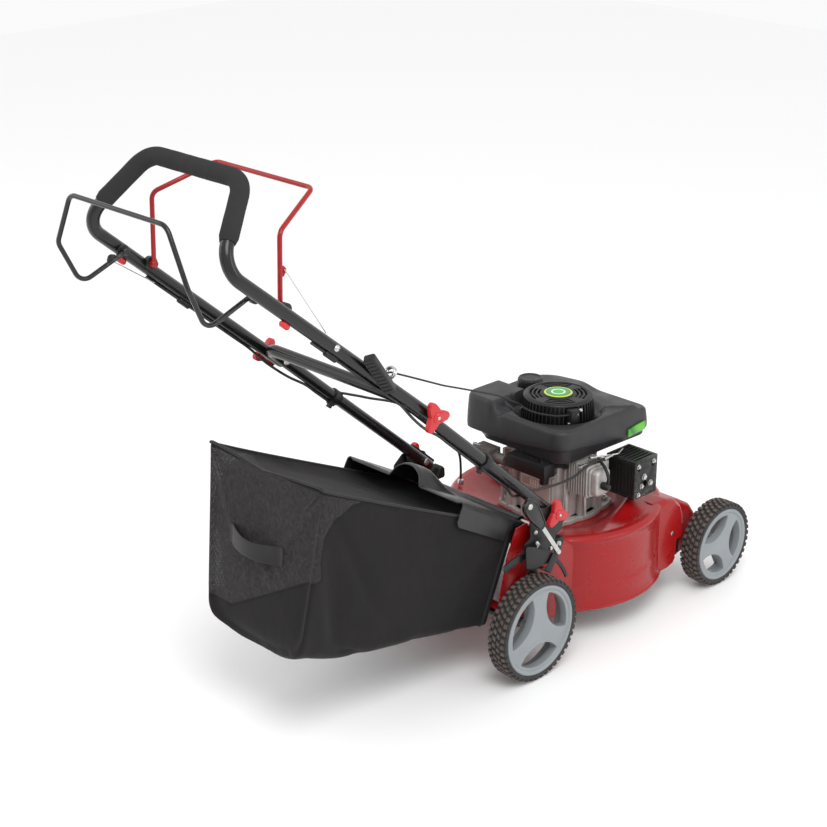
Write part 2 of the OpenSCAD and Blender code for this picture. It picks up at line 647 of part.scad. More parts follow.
function in_plane(x, p) = [x, p.x, p.y];
red_path = [
  in_plane(bail_x, red_pin), [bail_x, -545, 962], [118, -442, 1003],
  [-118, -442, 1003], [-bail_x, -545, 962], in_plane(-bail_x, red_pin)
];
black_path = [
  in_plane(bail_x, black_pin), [bail_x, -692, 841], [163, -black_reach, 915], [120, -black_reach, 1001],
  [-120, -black_reach, 1001], [-163, -black_reach, 915], [-bail_x, -692, 841], in_plane(-bail_x, black_pin)
];
module bail(path, pin, tube_x) {
  bent(path, 16, wire_r);
  both() xbar(bail_x - wire_r, tube_x - tube_r - 0.5, pin, pivot_r);
  both() xbar(bail_x - wire_r - 1, bail_x + wire_r, pin, wire_r + 2);
}
module red_bail() color("#b32b2f") bail(red_path, red_pin, upper_at(red_pin.x).x);
module black_bail() color("#18181a") bail(black_path, black_pin, upper_at(black_pin.x).x);

rope_r = 1.7;
grip_at = upper_at(-356) + [-2, 16, 19];
module starter_grip() color("#202022") {
  pull = unit(guide_at - grip_at);
  bar(grip_at - [22, 0, 0], grip_at + [14, 0, 0], 8);
  bar(grip_at, grip_at + pull * 15, 5);
  bar(grip_at + pull * 14, guide_at - pull * 2.2, rope_r);
}
ring_r = recoil_r + 7;
function on_ring(a) = [ring_r * cos(a), deck_y + ring_r * sin(a), 414];
rope_route = concat([
  guide_at, [158, -260, 655], [112, -120, 586], [66, 10, 523], [20, 110, 470],
  [-20, 180, 434], on_ring(-122) + [-2, -8, 4]
], [for (a = [-104 : 17.5 : -34]) on_ring(a)], [[71.4, 260.8, 414]]);
module starter_rope() color("#1a1a1a") cord(rope_route, rope_r, [1, 0, 0]);

// Cables lie on the tubes' lower rear side, then sag to where they are anchored
cable_r = 2.5;
under = [0, -10, -12];
module upper_cables() color("#141415") {
  cord([upper_at(-486) + under, upper_at(-440) + under, upper_at(-380) + under,
    upper_at(-330) + under, upper_at(-292) + [-6, -12, -15]], cable_r, [1, 0, 0]);
  cord([flip(upper_at(-524)) + under, flip(upper_at(-460)) + under, flip(upper_at(-400)) + under,
    flip(upper_at(-340)) + under, flip(upper_at(-292)) + [6, -12, -15]], cable_r, [1, 0, 0]);
}
module lower_cables() color("#141415") {
  cord([[168, -250, 562], [168, -200, 520], [168, -140, 462], [166, -95, 424], [166, -50, 382],
    [166, 0, 344], [166, 30, 318], [158, 56, 303], [150, 76, 284], [140, 100, 288],
    [132, 130, 300], [126, 170, 312], [124, 205, 321]], cable_r, [1, 0, 0]);
  cord([[-168, -250, 562], [-168, -200, 520], [-168, -150, 474], [-168, -90, 424], [-168, -30, 372],
    [-166, 0, 344], [-166, 30, 318], [-158, 56, 303], [-150, 76, 284], [-146, 110, 286],
    [-150, 145, 290], [-156, 172, 280], [-158, 182, 255], [-158, 183, 228]], cable_r, [1, 0, 0]);
  cord([[160, -272, 570], [110, -240, 548], [40, -206, 520], [-40, -182, 500], [-110, -160, 488],
    [-156, -150, 486]], cable_r, [0, 1, 0]);
}

// ---------------------------------------------------------------- flap and bag

module in_flap() translate([0, hinge.x, hinge.y]) rotate([-flap_a, 0, 0]) children();
module rear_flap() color("#39393b") difference() {
  union() {
    in_flap() {
      block([-flap_x, -flap_len, -flap_t / 2], [flap_x, -8, flap_t / 2]);
      both() block([flap_x - 2.2, -flap_len, -skirt_h], [flap_x, -34, 0]);
      block([-flap_x, -flap_len, -6.5], [flap_x, -flap_len + 2.2, 0]);
      translate([0, -150, 0]) rotate([90, 0, 0]) cylinder(r = 34, h = 24, $fn = 40);
      block([-134, -9, -3], [134, -2, 3]);
    }
    xbar(-140, 140, hinge, flap_rod_r + 3.5);
  }
  in_flap() translate([0, -148, -1.5]) rotate([90, 0, 0]) cylinder(r = 31, h = 22, $fn = 40);
  in_flap() block([-60, -200, -60], [60, -60, -flap_t / 2]);
  xbar(-200, 200, hinge, flap_rod_r + play);
}
module flap_rod() color("silver") xbar(-side_x - 6, side_x + 6, hinge, flap_rod_r);

module bag_outer() loft(bag_top_f, bag_low_f, bag_top_r, bag_low_r, bag_front_x, bag_rear_x, bag_low_x);
module bag_inner() loft(
  bag_top_f + [-3.5, -1.5], bag_low_f + [-0.5, 4], bag_top_r + [3.5, -2], bag_low_r + [3, 3.5],
  bag_front_x - bag_t, bag_rear_x - bag_t, bag_low_x - bag_t
);
module bag_fabric() color("#3d3c3d") difference() {
  bag_outer();
  bag_inner();
  slab(-138, 138, [[-14, 276], [30, 276], [-30, 146], [-66, 150]]);
}
frame_r = 3.5;
module bag_frame() color("#252526") {
  a = mix(bag_top_f, bag_low_f, 0.03) + [-9, 0];
  b = mix(bag_top_f, bag_low_f, 0.80) + [-9, 0];
  x = 139.5;
  bent([in_plane(0, a), in_plane(x, a), in_plane(x, b), in_plane(-x, b), in_plane(-x, a), in_plane(0, a)],
    14, frame_r);
}

// ---------------------------------------------------------------- nodes

stand() deck_shell();
stand() handle_brackets();
stand() height_quadrant();
stand() axle_bearings();
stand() crankcase();
stand() cylinder_block();
stand() rocker_cover();
stand() spark_plug();
stand() carburettor();
stand() air_filter_box();
stand() fuel_tank();
stand() engine_cowl();
stand() recoil_cover();
stand() badges();
stand() fold_bolts();
stand() muffler();
stand() muffler_guard();
stand() fasteners();
stand() flap_rod();
stand() control_bracket();
stand() rear_axle();
stand() height_lever();
stand() lever_grip();
stand() front_axle();
stand() link_rod();
stand() at_wheel(-1, 0, rear_r) tyre(rear_r);  // tyre_rl
stand() at_wheel(1, 0, rear_r) tyre(rear_r);  // tyre_rr
stand() at_wheel(-1, wheelbase, front_r) tyre(front_r);  // tyre_fl
stand() at_wheel(1, wheelbase, front_r) tyre(front_r);  // tyre_fr
stand() at_wheel(-1, 0, rear_r) rim(rear_r, 60);  // rim_rl
stand() at_wheel(1, 0, rear_r) rim(rear_r, 60);  // rim_rr
stand() at_wheel(-1, wheelbase, front_r) rim(front_r, 0);  // rim_fl
stand() at_wheel(1, wheelbase, front_r) rim(front_r, 0);  // rim_fr
stand() crankshaft();
stand() flywheel();
stand() blade_adapter();
stand() blade();
stand() blade_bolt();
stand() starter_pulley();
stand() lower_handle();
stand() cable_clips();
stand() upper_handle();
stand() foam_grip();
stand() bail_brackets();
stand() rope_guide();
stand() at_knob(-1, 180.3, base_pt, 60);  // base_knob_l
stand() at_knob(1, 180.3, base_pt, -50);  // base_knob_r
stand() at_knob(-1, 207.5, fold_hi, 40);  // fold_knob_l
stand() at_knob(1, 207.5, fold_hi, -50);  // fold_knob_r
stand() red_bail();
stand() black_bail();
stand() starter_grip();
stand() starter_rope();
stand() upper_cables();
stand() lower_cables();
stand() rear_flap();
stand() bag_fabric();
stand() bag_frame();
stand() fuel_cap();
stand() oil_plug();
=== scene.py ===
import json
import math

import bmesh
import bpy
import numpy as np
from mathutils import Matrix, Vector
from mathutils.bvhtree import BVHTree


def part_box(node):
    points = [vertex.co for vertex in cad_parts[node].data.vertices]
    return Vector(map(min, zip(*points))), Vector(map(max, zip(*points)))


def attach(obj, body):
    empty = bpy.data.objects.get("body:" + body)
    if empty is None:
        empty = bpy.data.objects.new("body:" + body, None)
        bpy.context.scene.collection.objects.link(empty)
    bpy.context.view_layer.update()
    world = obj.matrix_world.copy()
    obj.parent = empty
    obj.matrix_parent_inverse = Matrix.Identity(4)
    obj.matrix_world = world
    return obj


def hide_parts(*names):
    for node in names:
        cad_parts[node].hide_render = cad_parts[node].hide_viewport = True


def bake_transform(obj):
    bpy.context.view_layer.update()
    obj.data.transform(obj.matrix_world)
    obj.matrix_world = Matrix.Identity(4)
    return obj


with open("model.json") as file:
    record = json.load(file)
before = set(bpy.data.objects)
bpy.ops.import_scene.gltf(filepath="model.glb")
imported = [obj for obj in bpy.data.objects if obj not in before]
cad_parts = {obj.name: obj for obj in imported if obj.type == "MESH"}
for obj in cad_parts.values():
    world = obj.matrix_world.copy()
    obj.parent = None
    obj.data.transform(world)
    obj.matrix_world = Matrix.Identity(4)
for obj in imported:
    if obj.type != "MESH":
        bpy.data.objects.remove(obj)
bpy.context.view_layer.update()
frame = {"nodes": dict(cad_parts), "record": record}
BODIES = {n: b for b, ns in frame["record"]["behaviour"]["bodies"].items() for n in ns}

# Sizes in this script are millimetres from the ground point under the rear wheels,
# +X to the operator's right, +Y forward; at() moves them into the frame, in metres.
REAR_Y = sum(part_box("tyre_rr")[i].y for i in (0, 1)) / 2
HUB = Vector((0, 292))  # the crankshaft, seen from above


def at(p):
    """A point of this script as a frame point, in metres."""
    return Vector((p[0] / 1000, p[1] / 1000 + REAR_Y, p[2] / 1000))


def at_back(p):
    """A frame point, in metres, as this script's millimetres."""
    return Vector((p.x * 1000, (p.y - REAR_Y) * 1000, p.z * 1000))


def mid(node):
    """The middle of a CAD node's box, in this script's millimetres."""
    lo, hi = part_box(node)
    return at_back((lo + hi) / 2)


def around(n):
    """n angles evenly round a circle."""
    return [2 * math.pi * k / n for k in range(n)]


def polar(deg):
    """The unit direction at an angle in degrees."""
    return Vector((math.cos(math.radians(deg)), math.sin(math.radians(deg))))


def clamped(t):
    return min(1.0, max(0.0, t))


def smoothstep(t):
    t = clamped(t)
    return t * t * (3 - 2 * t)


# ------------------------------------------------------------------ mesh helpers
def add_object(name, bm, material, body, smooth=30, replaces=()):
    """A piece from a bmesh in this script's millimetres."""
    for v in bm.verts:
        v.co = at(v.co)
    me = bpy.data.meshes.new(name)
    bmesh.ops.recalc_face_normals(bm, faces=bm.faces)
    bm.to_mesh(me)
    bm.free()
    o = bpy.data.objects.new(name, me)
    bpy.context.scene.collection.objects.link(o)
    me.materials.append(material)
    shade(o, smooth)
    if body:
        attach(o, body)
    if replaces:
        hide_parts(*replaces)
    return o


def shade(o, angle):
    """Smooth shading with edges sharper than angle kept crisp."""
    me = o.data
    me.polygons.foreach_set("use_smooth", [True] * len(me.polygons))
    if angle < 180:
        bm = bmesh.new()
        bm.from_mesh(me)
        for e in bm.edges:
            if len(e.link_faces) == 2 and e.calc_face_angle(0) > math.radians(angle):
                e.smooth = False
        bm.to_mesh(me)
        bm.free()


def apply_modifiers(o):
    """Bakes the piece's modifiers into its mesh."""
    deps = bpy.context.evaluated_depsgraph_get()
    me = bpy.data.meshes.new_from_object(o.evaluated_get(deps))
    old = o.data
    o.modifiers.clear()
    o.data = me
    bpy.data.meshes.remove(old)


def bevelled(o, width):
    """Rounds the piece's sharp edges by width millimetres."""
    m = o.modifiers.new("edge", "BEVEL")
    m.width = width / 1000
    m.segments = 2
    m.limit_method = "ANGLE"
    m.angle_limit = math.radians(35)
    m.harden_normals = False
    apply_modifiers(o)
    shade(o, 40)
    return o


def ring_skin(bm, rings, closed=False, caps=True):
    """Faces between rings of equally many points; closed joins the last ring to the first."""
    vs = [[bm.verts.new(p) for p in r] for r in rings]
    n, m = len(vs[0]), len(vs)
    for i in range(m if closed else m - 1):
        a, b = vs[i], vs[(i + 1) % m]
        for k in range(n):
            bm.faces.new((a[k], a[(k + 1) % n], b[(k + 1) % n], b[k]))
    if caps and not closed:
        bm.faces.new(vs[0][::-1])
        bm.faces.new(vs[-1])
    return vs


def corner_arc(a, b, c, r, share):
    """The arc that rounds the corner b between a and c: its centre and its first and last spokes."""
    u, w = (a - b).normalized(), (c - b).normalized()
    half = u.angle(w) / 2
    t = min(r / math.tan(half), (a - b).length * share, (c - b).length * share)
    o = b + (u + w).normalized() * (t * math.tan(half)) / math.sin(half)
    return o, b + u * t - o, b + w * t - o


def fillet_path(pts, r, step=9):
    """A polyline with its inner corners rounded to radius r, as bent tube is."""
    pts = [Vector(p) for p in pts]
    out = [pts[0]]
    for a, b, c in zip(pts, pts[1:], pts[2:]):
        o, s, e = corner_arc(a, b, c, r, 0.48)
        n = max(3, int(math.degrees(s.angle(e)) / step))
        axis = s.cross(e).normalized()
        out += [o + Matrix.Rotation(s.angle(e) * i / n, 3, axis) @ s for i in range(n + 1)]
    return out + [pts[-1]]


def dense(pts, step):
    """The same polyline with points about step apart."""
    out = [pts[0]]
    for a, b in zip(pts, pts[1:]):
        n = max(1, int((b - a).length / step))
        out += [a + (b - a) * (i + 1) / n for i in range(n)]
    return out


def spline_path(pts, per=6):
    """A smooth curve through the points."""
    p = [Vector(q) for q in pts]
    p = [p[0] * 2 - p[1]] + p + [p[-1] * 2 - p[-2]]
    out = []
    for a, b, c, d in zip(p, p[1:], p[2:], p[3:]):
        for i in range(per):
            t = i / per
            out.append(0.5 * (2 * b + (c - a) * t + (2 * a - 5 * b + 4 * c - d) * t * t
                              + (3 * b - a - 3 * c + d) * t ** 3))
    return out + [p[-2]]


def path_frames(path):
    """Two side directions at every point of a path, turning no more than the path does."""
    tangents = [(path[min(i + 1, len(path) - 1)] - path[max(i - 1, 0)]).normalized()
                for i in range(len(path))]
    seed = Vector((0, 0, 1)) if abs(tangents[0].z) < 0.9 else Vector((1, 0, 0))
    a = tangents[0].cross(seed).normalized()
    out = []
    for t in tangents:
        a = (a - t * a.dot(t)).normalized()
        out.append((t, a, t.cross(a)))
    return out


def sweep_rings(path, radius, sides):
    """Round rings along a path."""
    return [[p + a * radius * math.cos(t) + b * radius * math.sin(t) for t in around(sides)]
            for p, (_, a, b) in zip(path, path_frames(path))]


def rod(name, path, r, material, body, sides=20, dome=True, bm=None):
    """A round bar along a path, its ends slightly rounded; given a bmesh, it is only added to that."""
    own = bm is None
    bm = bm or bmesh.new()
    path = [Vector(p) for p in path]
    if dome:
        u0, u1 = (path[1] - path[0]).normalized(), (path[-1] - path[-2]).normalized()
        path = [path[0], path[0] + u0 * r * 0.25] + path[1:-1] + [path[-1] - u1 * r * 0.25, path[-1]]
    rings = sweep_rings(path, r, sides)
    if dome:
        for i, p in ((0, path[0]), (-1, path[-1])):
            rings[i] = [p + (q - p) * 0.72 for q in rings[i]]
    ring_skin(bm, rings)
    return add_object(name, bm, material, body) if own else bm


def turned(bm, profile, centre, axis, n=64):
    """A turned solid: profile is (radius, height) pairs from one end of the axis to the other."""
    axis = Vector(axis).normalized()
    side = Vector((0, 0, 1)) if abs(axis.z) < 0.9 else Vector((1, 0, 0))
    a = axis.cross(side).normalized()
    b = axis.cross(a)
    c = Vector(centre)
    return ring_skin(bm, [[c + axis * h + (a * math.cos(t) + b * math.sin(t)) * r for t in around(n)]
                          for r, h in profile])


def rounded(pts, r, step=12):
    """A closed outline with its corners rounded; r is one radius or one for each corner."""
    n = len(pts)
    out = []
    for i in range(n):
        a, b, c = (Vector(pts[(i + k) % n]) for k in (-1, 0, 1))
        rad = r[i] if isinstance(r, (list, tuple)) else r
        if rad <= 0 or (a - b).angle(c - b) > math.radians(176):
            out.append(b)
            continue
        o, s, e = corner_arc(a, b, c, rad, 0.49)
        k = max(2, int(math.degrees(s.angle(e)) / step))
        turn = s.angle_signed(e)
        for j in range(k + 1):
            ang = -turn * j / k
            out.append(o + Vector((s.x * math.cos(ang) - s.y * math.sin(ang),
                                   s.x * math.sin(ang) + s.y * math.cos(ang))))
    return out


def slab_rings(outline, place, lo, hi, edge):
    """Rings of an extruded outline whose two rims are rounded by edge."""
    o = [Vector(p) for p in outline]
    n = len(o)
    area = sum(o[i].x * o[(i + 1) % n].y - o[(i + 1) % n].x * o[i].y for i in range(n))
    sgn = 1 if area > 0 else -1

    def inset(d):
        res = []
        for i in range(n):
            u = (o[i] - o[i - 1]).normalized()
            w = (o[(i + 1) % n] - o[i]).normalized()
            m = (u + w).normalized() if (u + w).length > 1e-6 else u
            s = max(m.dot(w), 0.5)
            res.append(o[i] + Vector((-m.y, m.x)) * sgn * d / s)
        return res
    levels = []
    if edge > 0:
        for t in (0, 30, 60, 90):
            c, s = math.cos(math.radians(t)), math.sin(math.radians(t))
            levels.append((edge * (1 - s), lo + edge * (1 - c)))
        levels += [(d, hi - (z - lo)) for d, z in reversed(levels)]
    else:
        levels = [(0, lo), (0, hi)]
    return [[place(p, z) for p in inset(d)] for d, z in levels]


def side_place(p, x):
    """Places an outline of the side view at x."""
    return Vector((x, p[0], p[1]))


def top_place(p, z):
    """Places an outline of the top view at z."""
    return Vector((p[0], p[1], z))


def across(outline, *xs):
    """A side-view outline repeated at each x."""
    return [[side_place(p, x) for p in outline] for x in xs]


def plate(bm, outline, lo, hi, edge=0.8, place=side_place):
    """A flat plate with softened rims."""
    return ring_skin(bm, slab_rings(outline, place, lo, hi, edge))


def mirrored(bm):
    """Adds the mirror image across the middle plane."""
    geo = bmesh.ops.duplicate(bm, geom=bm.verts[:] + bm.edges[:] + bm.faces[:])["geom"]
    for v in geo:
        if isinstance(v, bmesh.types.BMVert):
            v.co.x = -v.co.x
    bmesh.ops.reverse_faces(bm, faces=[f for f in geo if isinstance(f, bmesh.types.BMFace)])


def refined(node, material, width):
    """A copy of a CAD node's mesh with its edges rounded, standing for the node."""
    bm = bmesh.new()
    bm.from_mesh(frame["nodes"][node].data)
    bmesh.ops.remove_doubles(bm, verts=bm.verts, dist=2e-6)
    bmesh.ops.dissolve_limit(bm, angle_limit=math.radians(1.5), verts=bm.verts, edges=bm.edges)
    me = bpy.data.meshes.new(node + "_look")
    bm.to_mesh(me)
    bm.free()
    o = bpy.data.objects.new(me.name, me)
    bpy.context.scene.collection.objects.link(o)
    me.materials.append(material)
    bevelled(o, width)
    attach(o, BODIES[node])
    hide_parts(node)
    return o


# ------------------------------------------------------------------ materials
def lin(r, g, b):
    """A display colour, 0 to 255, as the shader's linear one."""
    return tuple(((c / 255 + 0.055) / 1.055) ** 2.4 if c > 10 else c / 3294 for c in (r, g, b)) + (1,)


def scaled(colour, f):
    """A colour made lighter or darker by a factor."""
    return tuple(min(1, c * f) for c in colour[:3]) + (1,)


class Nodes:
    """A short way to build a node tree round one Principled shader."""

    def __init__(self, name):
        self.m = bpy.data.materials.new(name)
        self.m.use_nodes = True
        self.t = self.m.node_tree
        self.bsdf = self.t.nodes["Principled BSDF"]
        self.coord = self.t.nodes.new("ShaderNodeTexCoord")

    def add(self, kind, **settings):
        n = self.t.nodes.new("ShaderNode" + kind)
        for k, v in settings.items():
            if k.startswith("_"):
                n.inputs[k[1:].replace("_", " ")].default_value = v
            else:
                setattr(n, k, v)
        return n

    def link(self, a, b):
        self.t.links.new(a, b)

    def noise(self, scale, detail=3, rough=0.55, stretch=None):
        n = self.add("TexNoise", _Scale=scale, _Detail=detail, _Roughness=rough)
        src = self.coord.outputs["Object"]
        if stretch:
            m = self.add("Mapping")
            m.inputs["Scale"].default_value = stretch
            self.link(src, m.inputs["Vector"])
            src = m.outputs["Vector"]
        self.link(src, n.inputs["Vector"])
        return n.outputs["Fac"]

    def ramp(self, fac, stops):
        r = self.add("ValToRGB")
        while len(r.color_ramp.elements) < len(stops):
            r.color_ramp.elements.new(0.5)
        for e, (p, c) in zip(r.color_ramp.elements, stops):
            e.position, e.color = p, c
        self.link(fac, r.inputs["Fac"])
        return r.outputs["Color"]

    def mix(self, fac, a, b, blend="MIX"):
        m = self.add("Mix", data_type="RGBA", blend_type=blend)
        for value, socket in ((fac, m.inputs["Factor"]), (a, m.inputs["A"]), (b, m.inputs["B"])):
            if isinstance(value, (float, int, tuple)):
                socket.default_value = value
            else:
                self.link(value, socket)
        return m.outputs["Result"]

    def math(self, op, a, b=0.0):
        m = self.add("Math", operation=op)
        for value, socket in ((a, m.inputs[0]), (b, m.inputs[1])):
            if isinstance(value, (float, int)):
                socket.default_value = value
            else:
                self.link(value, socket)
        return m.outputs[0]

    def span(self, fac, lo, hi, a=0.3, b=0.7):
        m = self.add("MapRange")
        for k, v in (("From Min", a), ("From Max", b), ("To Min", lo), ("To Max", hi)):
            m.inputs[k].default_value = v
        self.link(fac, m.inputs["Value"])
        return m.outputs["Result"]

    def bump(self, height, strength, distance, under=None):
        n = self.add("Bump", _Strength=strength, _Distance=distance)
        self.link(height, n.inputs["Height"])
        if under is not None:
            self.link(under, n.inputs["Normal"])
        return n.outputs["Normal"]

    def split(self, which):
        """The three parts of a texture coordinate output."""
        sep = self.add("SeparateXYZ")
        self.link(self.coord.outputs[which], sep.inputs[0])
        return sep.outputs

    def weave(self, pitch):
        """Height of plain-woven threads, laid flat on whichever way the surface faces."""
        place, facing = self.split("Object"), self.split("Normal")
        flats = [self.math("POWER", self.math("ABSOLUTE", facing[i]), 4.0) for i in range(3)]
        waves = [self.math("SINE", self.math("MULTIPLY", place[i], 2 * math.pi / pitch)) for i in range(3)]
        parts = [self.math("MULTIPLY", self.math("MULTIPLY", waves[p], waves[q]), flats[i])
                 for i, (p, q) in enumerate(((1, 2), (0, 2), (0, 1)))]
        height = self.math("ADD", self.math("ADD", parts[0], parts[1]), parts[2])
        return self.math("DIVIDE", height, self.math("ADD", self.math("ADD", flats[0], flats[1]), flats[2]))

    def finish(self, colour=None, rough=None, normal=None, alpha=None, **fixed):
        for socket, value in (("Base Color", colour), ("Roughness", rough), ("Normal", normal),
                              ("Alpha", alpha)):
            if value is None:
                continue
            if isinstance(value, (float, int, tuple)):
                self.bsdf.inputs[socket].default_value = value
            else:
                self.link(value, self.bsdf.inputs[socket])
        for k, v in fixed.items():
            self.bsdf.inputs[k.replace("_", " ")].default_value = v
        return self.m


def moulded(name, colour, rough, grain=900, depth=0.35, vary=0.12, **fixed):
    """Moulded plastic or rubber: a fine grain and slow changes of tone."""
    k = Nodes(name)
    tone = k.ramp(k.noise(14, 4), [(0.3, scaled(colour, 1 - vary)), (0.7, scaled(colour, 1 + vary))])
    fine = k.noise(grain, 2, 0.5)
    return k.finish(tone, k.span(k.noise(30, 4), rough - 0.07, rough + 0.09),
                    k.bump(fine, depth, 0.0004), **fixed)


def painted(name, colour, rough, coat, peel, vary=0.05, edge=None, gloss=0.3):
    """Powder coat: a slight orange peel, a clear gloss and a little wear on the edges."""
    k = Nodes(name)
    tone = k.ramp(k.noise(5, 3), [(0.35, scaled(colour, 1 - vary)), (0.65, colour)])
    if edge:
        geo = k.add("NewGeometry")
        worn = k.math("MULTIPLY", k.span(geo.outputs["Pointiness"], 0, 1, 0.53, 0.6),
                      k.span(k.noise(160, 5, 0.7), 0, 1, 0.52, 0.62))
        tone = k.mix(worn, tone, edge)
    peeled = k.bump(k.noise(260, 2), peel, 0.0006)
    return k.finish(tone, k.span(k.noise(40, 4), rough - 0.05, rough + 0.06), peeled,
                    Coat_Weight=coat, Coat_Roughness=0.12, Specular_IOR_Level=gloss)


def metal(name, colour, rough, streak=None, pits=0.15, metallic=1.0, stain=None):
    """Bare, plated or cast metal: streaks along the work, small pits and stains."""
    k = Nodes(name)
    tone = k.ramp(k.noise(22, 5, 0.65), [(0.32, scaled(colour, 0.8)), (0.68, colour)])
    if stain:
        tone = k.mix(k.span(k.noise(38, 6, 0.7), 0, stain[1], 0.48, 0.7), tone, stain[0])
    fine = k.noise(420, 3, 0.6, streak)
    return k.finish(tone, k.span(k.noise(60, 5), rough - 0.1, rough + 0.12),
                    k.bump(fine, pits, 0.0004), Metallic=metallic)


RED = painted("red_powder_coat", lin(150, 14, 17), 0.3, coat=0.22, gloss=0.28, peel=0.02, vary=0.03)
BLACK = painted("black_enamel", lin(17, 17, 18), 0.28, coat=0.3, gloss=0.3, peel=0.06, edge=lin(90, 88, 86))
SATIN_BLACK = painted("satin_black_steel", lin(22, 22, 23), 0.42, coat=0.12, peel=0.12, gloss=0.3,
                      edge=lin(105, 100, 96))
ZINC = metal("zinc_plate", lin(205, 205, 203), 0.28, (1, 1, 6), 0.1)
DULL_STEEL = metal("oiled_steel", lin(96, 95, 94), 0.42, (6, 1, 1), 0.15, stain=(lin(84, 62, 50), 0.45))
CAST = metal("cast_alloy", lin(184, 182, 178), 0.5, None, 0.5, 0.45, stain=(lin(140, 128, 118), 0.35))
DARK_CAST = metal("dark_cast", lin(110, 104, 100), 0.6, None, 0.5, 0.5, stain=(lin(70, 60, 54), 0.5))
HOT_STEEL = metal("heated_steel", lin(112, 100, 92), 0.5, None, 0.2, 0.8, stain=(lin(92, 66, 48), 0.6))
PLASTIC = moulded("black_plastic", lin(24, 24, 25), 0.42, 1400, 0.25, Specular_IOR_Level=0.35)
COWL = moulded("cowl_plastic", lin(40, 40, 42), 0.42, 1700, 0.35, vary=0.06, Specular_IOR_Level=0.4)
GREY = moulded("grey_plastic", lin(134, 140, 143), 0.4, 1200, 0.12, vary=0.04)
RED_PLASTIC = moulded("red_plastic", lin(188, 34, 40), 0.28, 1200, 0.1, vary=0.05)
TANK = moulded("tank_plastic", lin(214, 208, 190), 0.45, 900, 0.15, Subsurface_Weight=0.1)
FOAM = moulded("grip_foam", lin(46, 46, 47), 0.95, 1100, 1.0, vary=0.09, Specular_IOR_Level=0.2)
CABLE = moulded("cable_sheath", lin(24, 24, 25), 0.35, 1500, 0.1)


def tyre_rubber():
    """Rubber whose lug tops are scuffed brown-grey."""
    k = Nodes("tyre_rubber")
    tone = k.ramp(k.noise(18, 4), [(0.3, lin(42, 40, 40)), (0.7, lin(54, 52, 51))])
    scuff = k.add("Attribute", attribute_name="worn")
    rough_top = k.math("MULTIPLY", scuff.outputs["Fac"], k.span(k.noise(130, 6, 0.7), 0.35, 1.0, 0.35, 0.6))
    tone = k.mix(rough_top, tone, lin(99, 88, 82))
    return k.finish(tone, k.span(k.noise(60, 4), 0.62, 0.85), k.bump(k.noise(700, 4, 0.65), 0.5, 0.0005))


TREAD = tyre_rubber()


def rope_weave():
    """Braided cord: a fine two-way twist."""
    k = Nodes("braided_rope")
    wave = k.add("TexWave", wave_type="BANDS", bands_direction="DIAGONAL", _Scale=330.0, _Distortion=1.5)
    k.link(k.coord.outputs["Object"], wave.inputs["Vector"])
    tone = k.ramp(wave.outputs["Fac"], [(0.2, lin(22, 22, 22)), (0.8, lin(52, 51, 50))])
    return k.finish(tone, 0.8, k.bump(wave.outputs["Fac"], 0.6, 0.0004))


ROPE = rope_weave()


def woven(name, colour, pitch, depth, crease, sheen):
    """Woven cloth with slow changes of tone and shallow folds."""
    k = Nodes(name)
    height = k.span(k.weave(pitch), 0, 1, -1, 1)
    tone = k.mix(height, scaled(colour, 0.72), scaled(colour, 1.2))
    slow = k.ramp(k.noise(9, 5, 0.6), [(0.3, lin(205, 200, 200)), (0.7, lin(255, 255, 255))])
    folds = k.bump(k.noise(17, 4, 0.5, (1, 1, 0.6)), crease, 0.006)
    return k.finish(k.mix(1.0, tone, slow, "MULTIPLY"), 0.85, k.bump(height, depth, 0.0005, folds),
                    Sheen_Weight=sheen, Specular_IOR_Level=0.25)


WEBBING = woven("woven_tape", lin(44, 43, 44), 0.0028, 0.5, 0.2, 0.15)


def badge_face():
    """Printed film: a round green field with a yellow edge and a plain pale ring."""
    k = Nodes("badge_print")
    hub = at((HUB.x, HUB.y, 0))
    m = k.add("Mapping")
    m.inputs["Location"].default_value = (-hub.x, -hub.y, 0)
    k.link(k.coord.outputs["Object"], m.inputs["Vector"])
    sep = k.add("SeparateXYZ")
    k.link(m.outputs["Vector"], sep.inputs[0])
    x, y = sep.outputs[0], sep.outputs[1]
    r = k.math("SQRT", k.math("ADD", k.math("MULTIPLY", x, x), k.math("MULTIPLY", y, y)))
    field = k.ramp(k.span(r, 0, 1, 0, 0.028), [
        (0.0, lin(34, 176, 54)), (0.7, lin(16, 140, 40)), (0.86, lin(24, 120, 40)),
        (0.89, lin(190, 205, 40)), (1.0, lin(200, 214, 46))])
    pale = k.math("LESS_THAN", k.math("ABSOLUTE", k.math("SUBTRACT", r, 0.0125)), 0.0016)
    return k.finish(k.mix(pale, field, lin(220, 236, 205)), 0.3,
                    k.bump(k.noise(500, 2), 0.05, 0.0002), Coat_Weight=0.4)


def label_face():
    """Printed film: plain slanting green stripes."""
    k = Nodes("label_print")
    _, y, z = k.split("Object")
    slant = k.math("ADD", y, k.math("MULTIPLY", z, 0.7))
    stripe = k.math("ABSOLUTE", k.math("SINE", k.math("MULTIPLY", slant, 60.0)))
    tone = k.mix(k.span(stripe, 0, 1, 0.1, 0.9), lin(26, 118, 30), lin(84, 178, 34))
    return k.finish(tone, 0.35, k.bump(k.noise(500, 2), 0.05, 0.0002), Coat_Weight=0.4)


BADGE = badge_face()
LABEL = label_face()


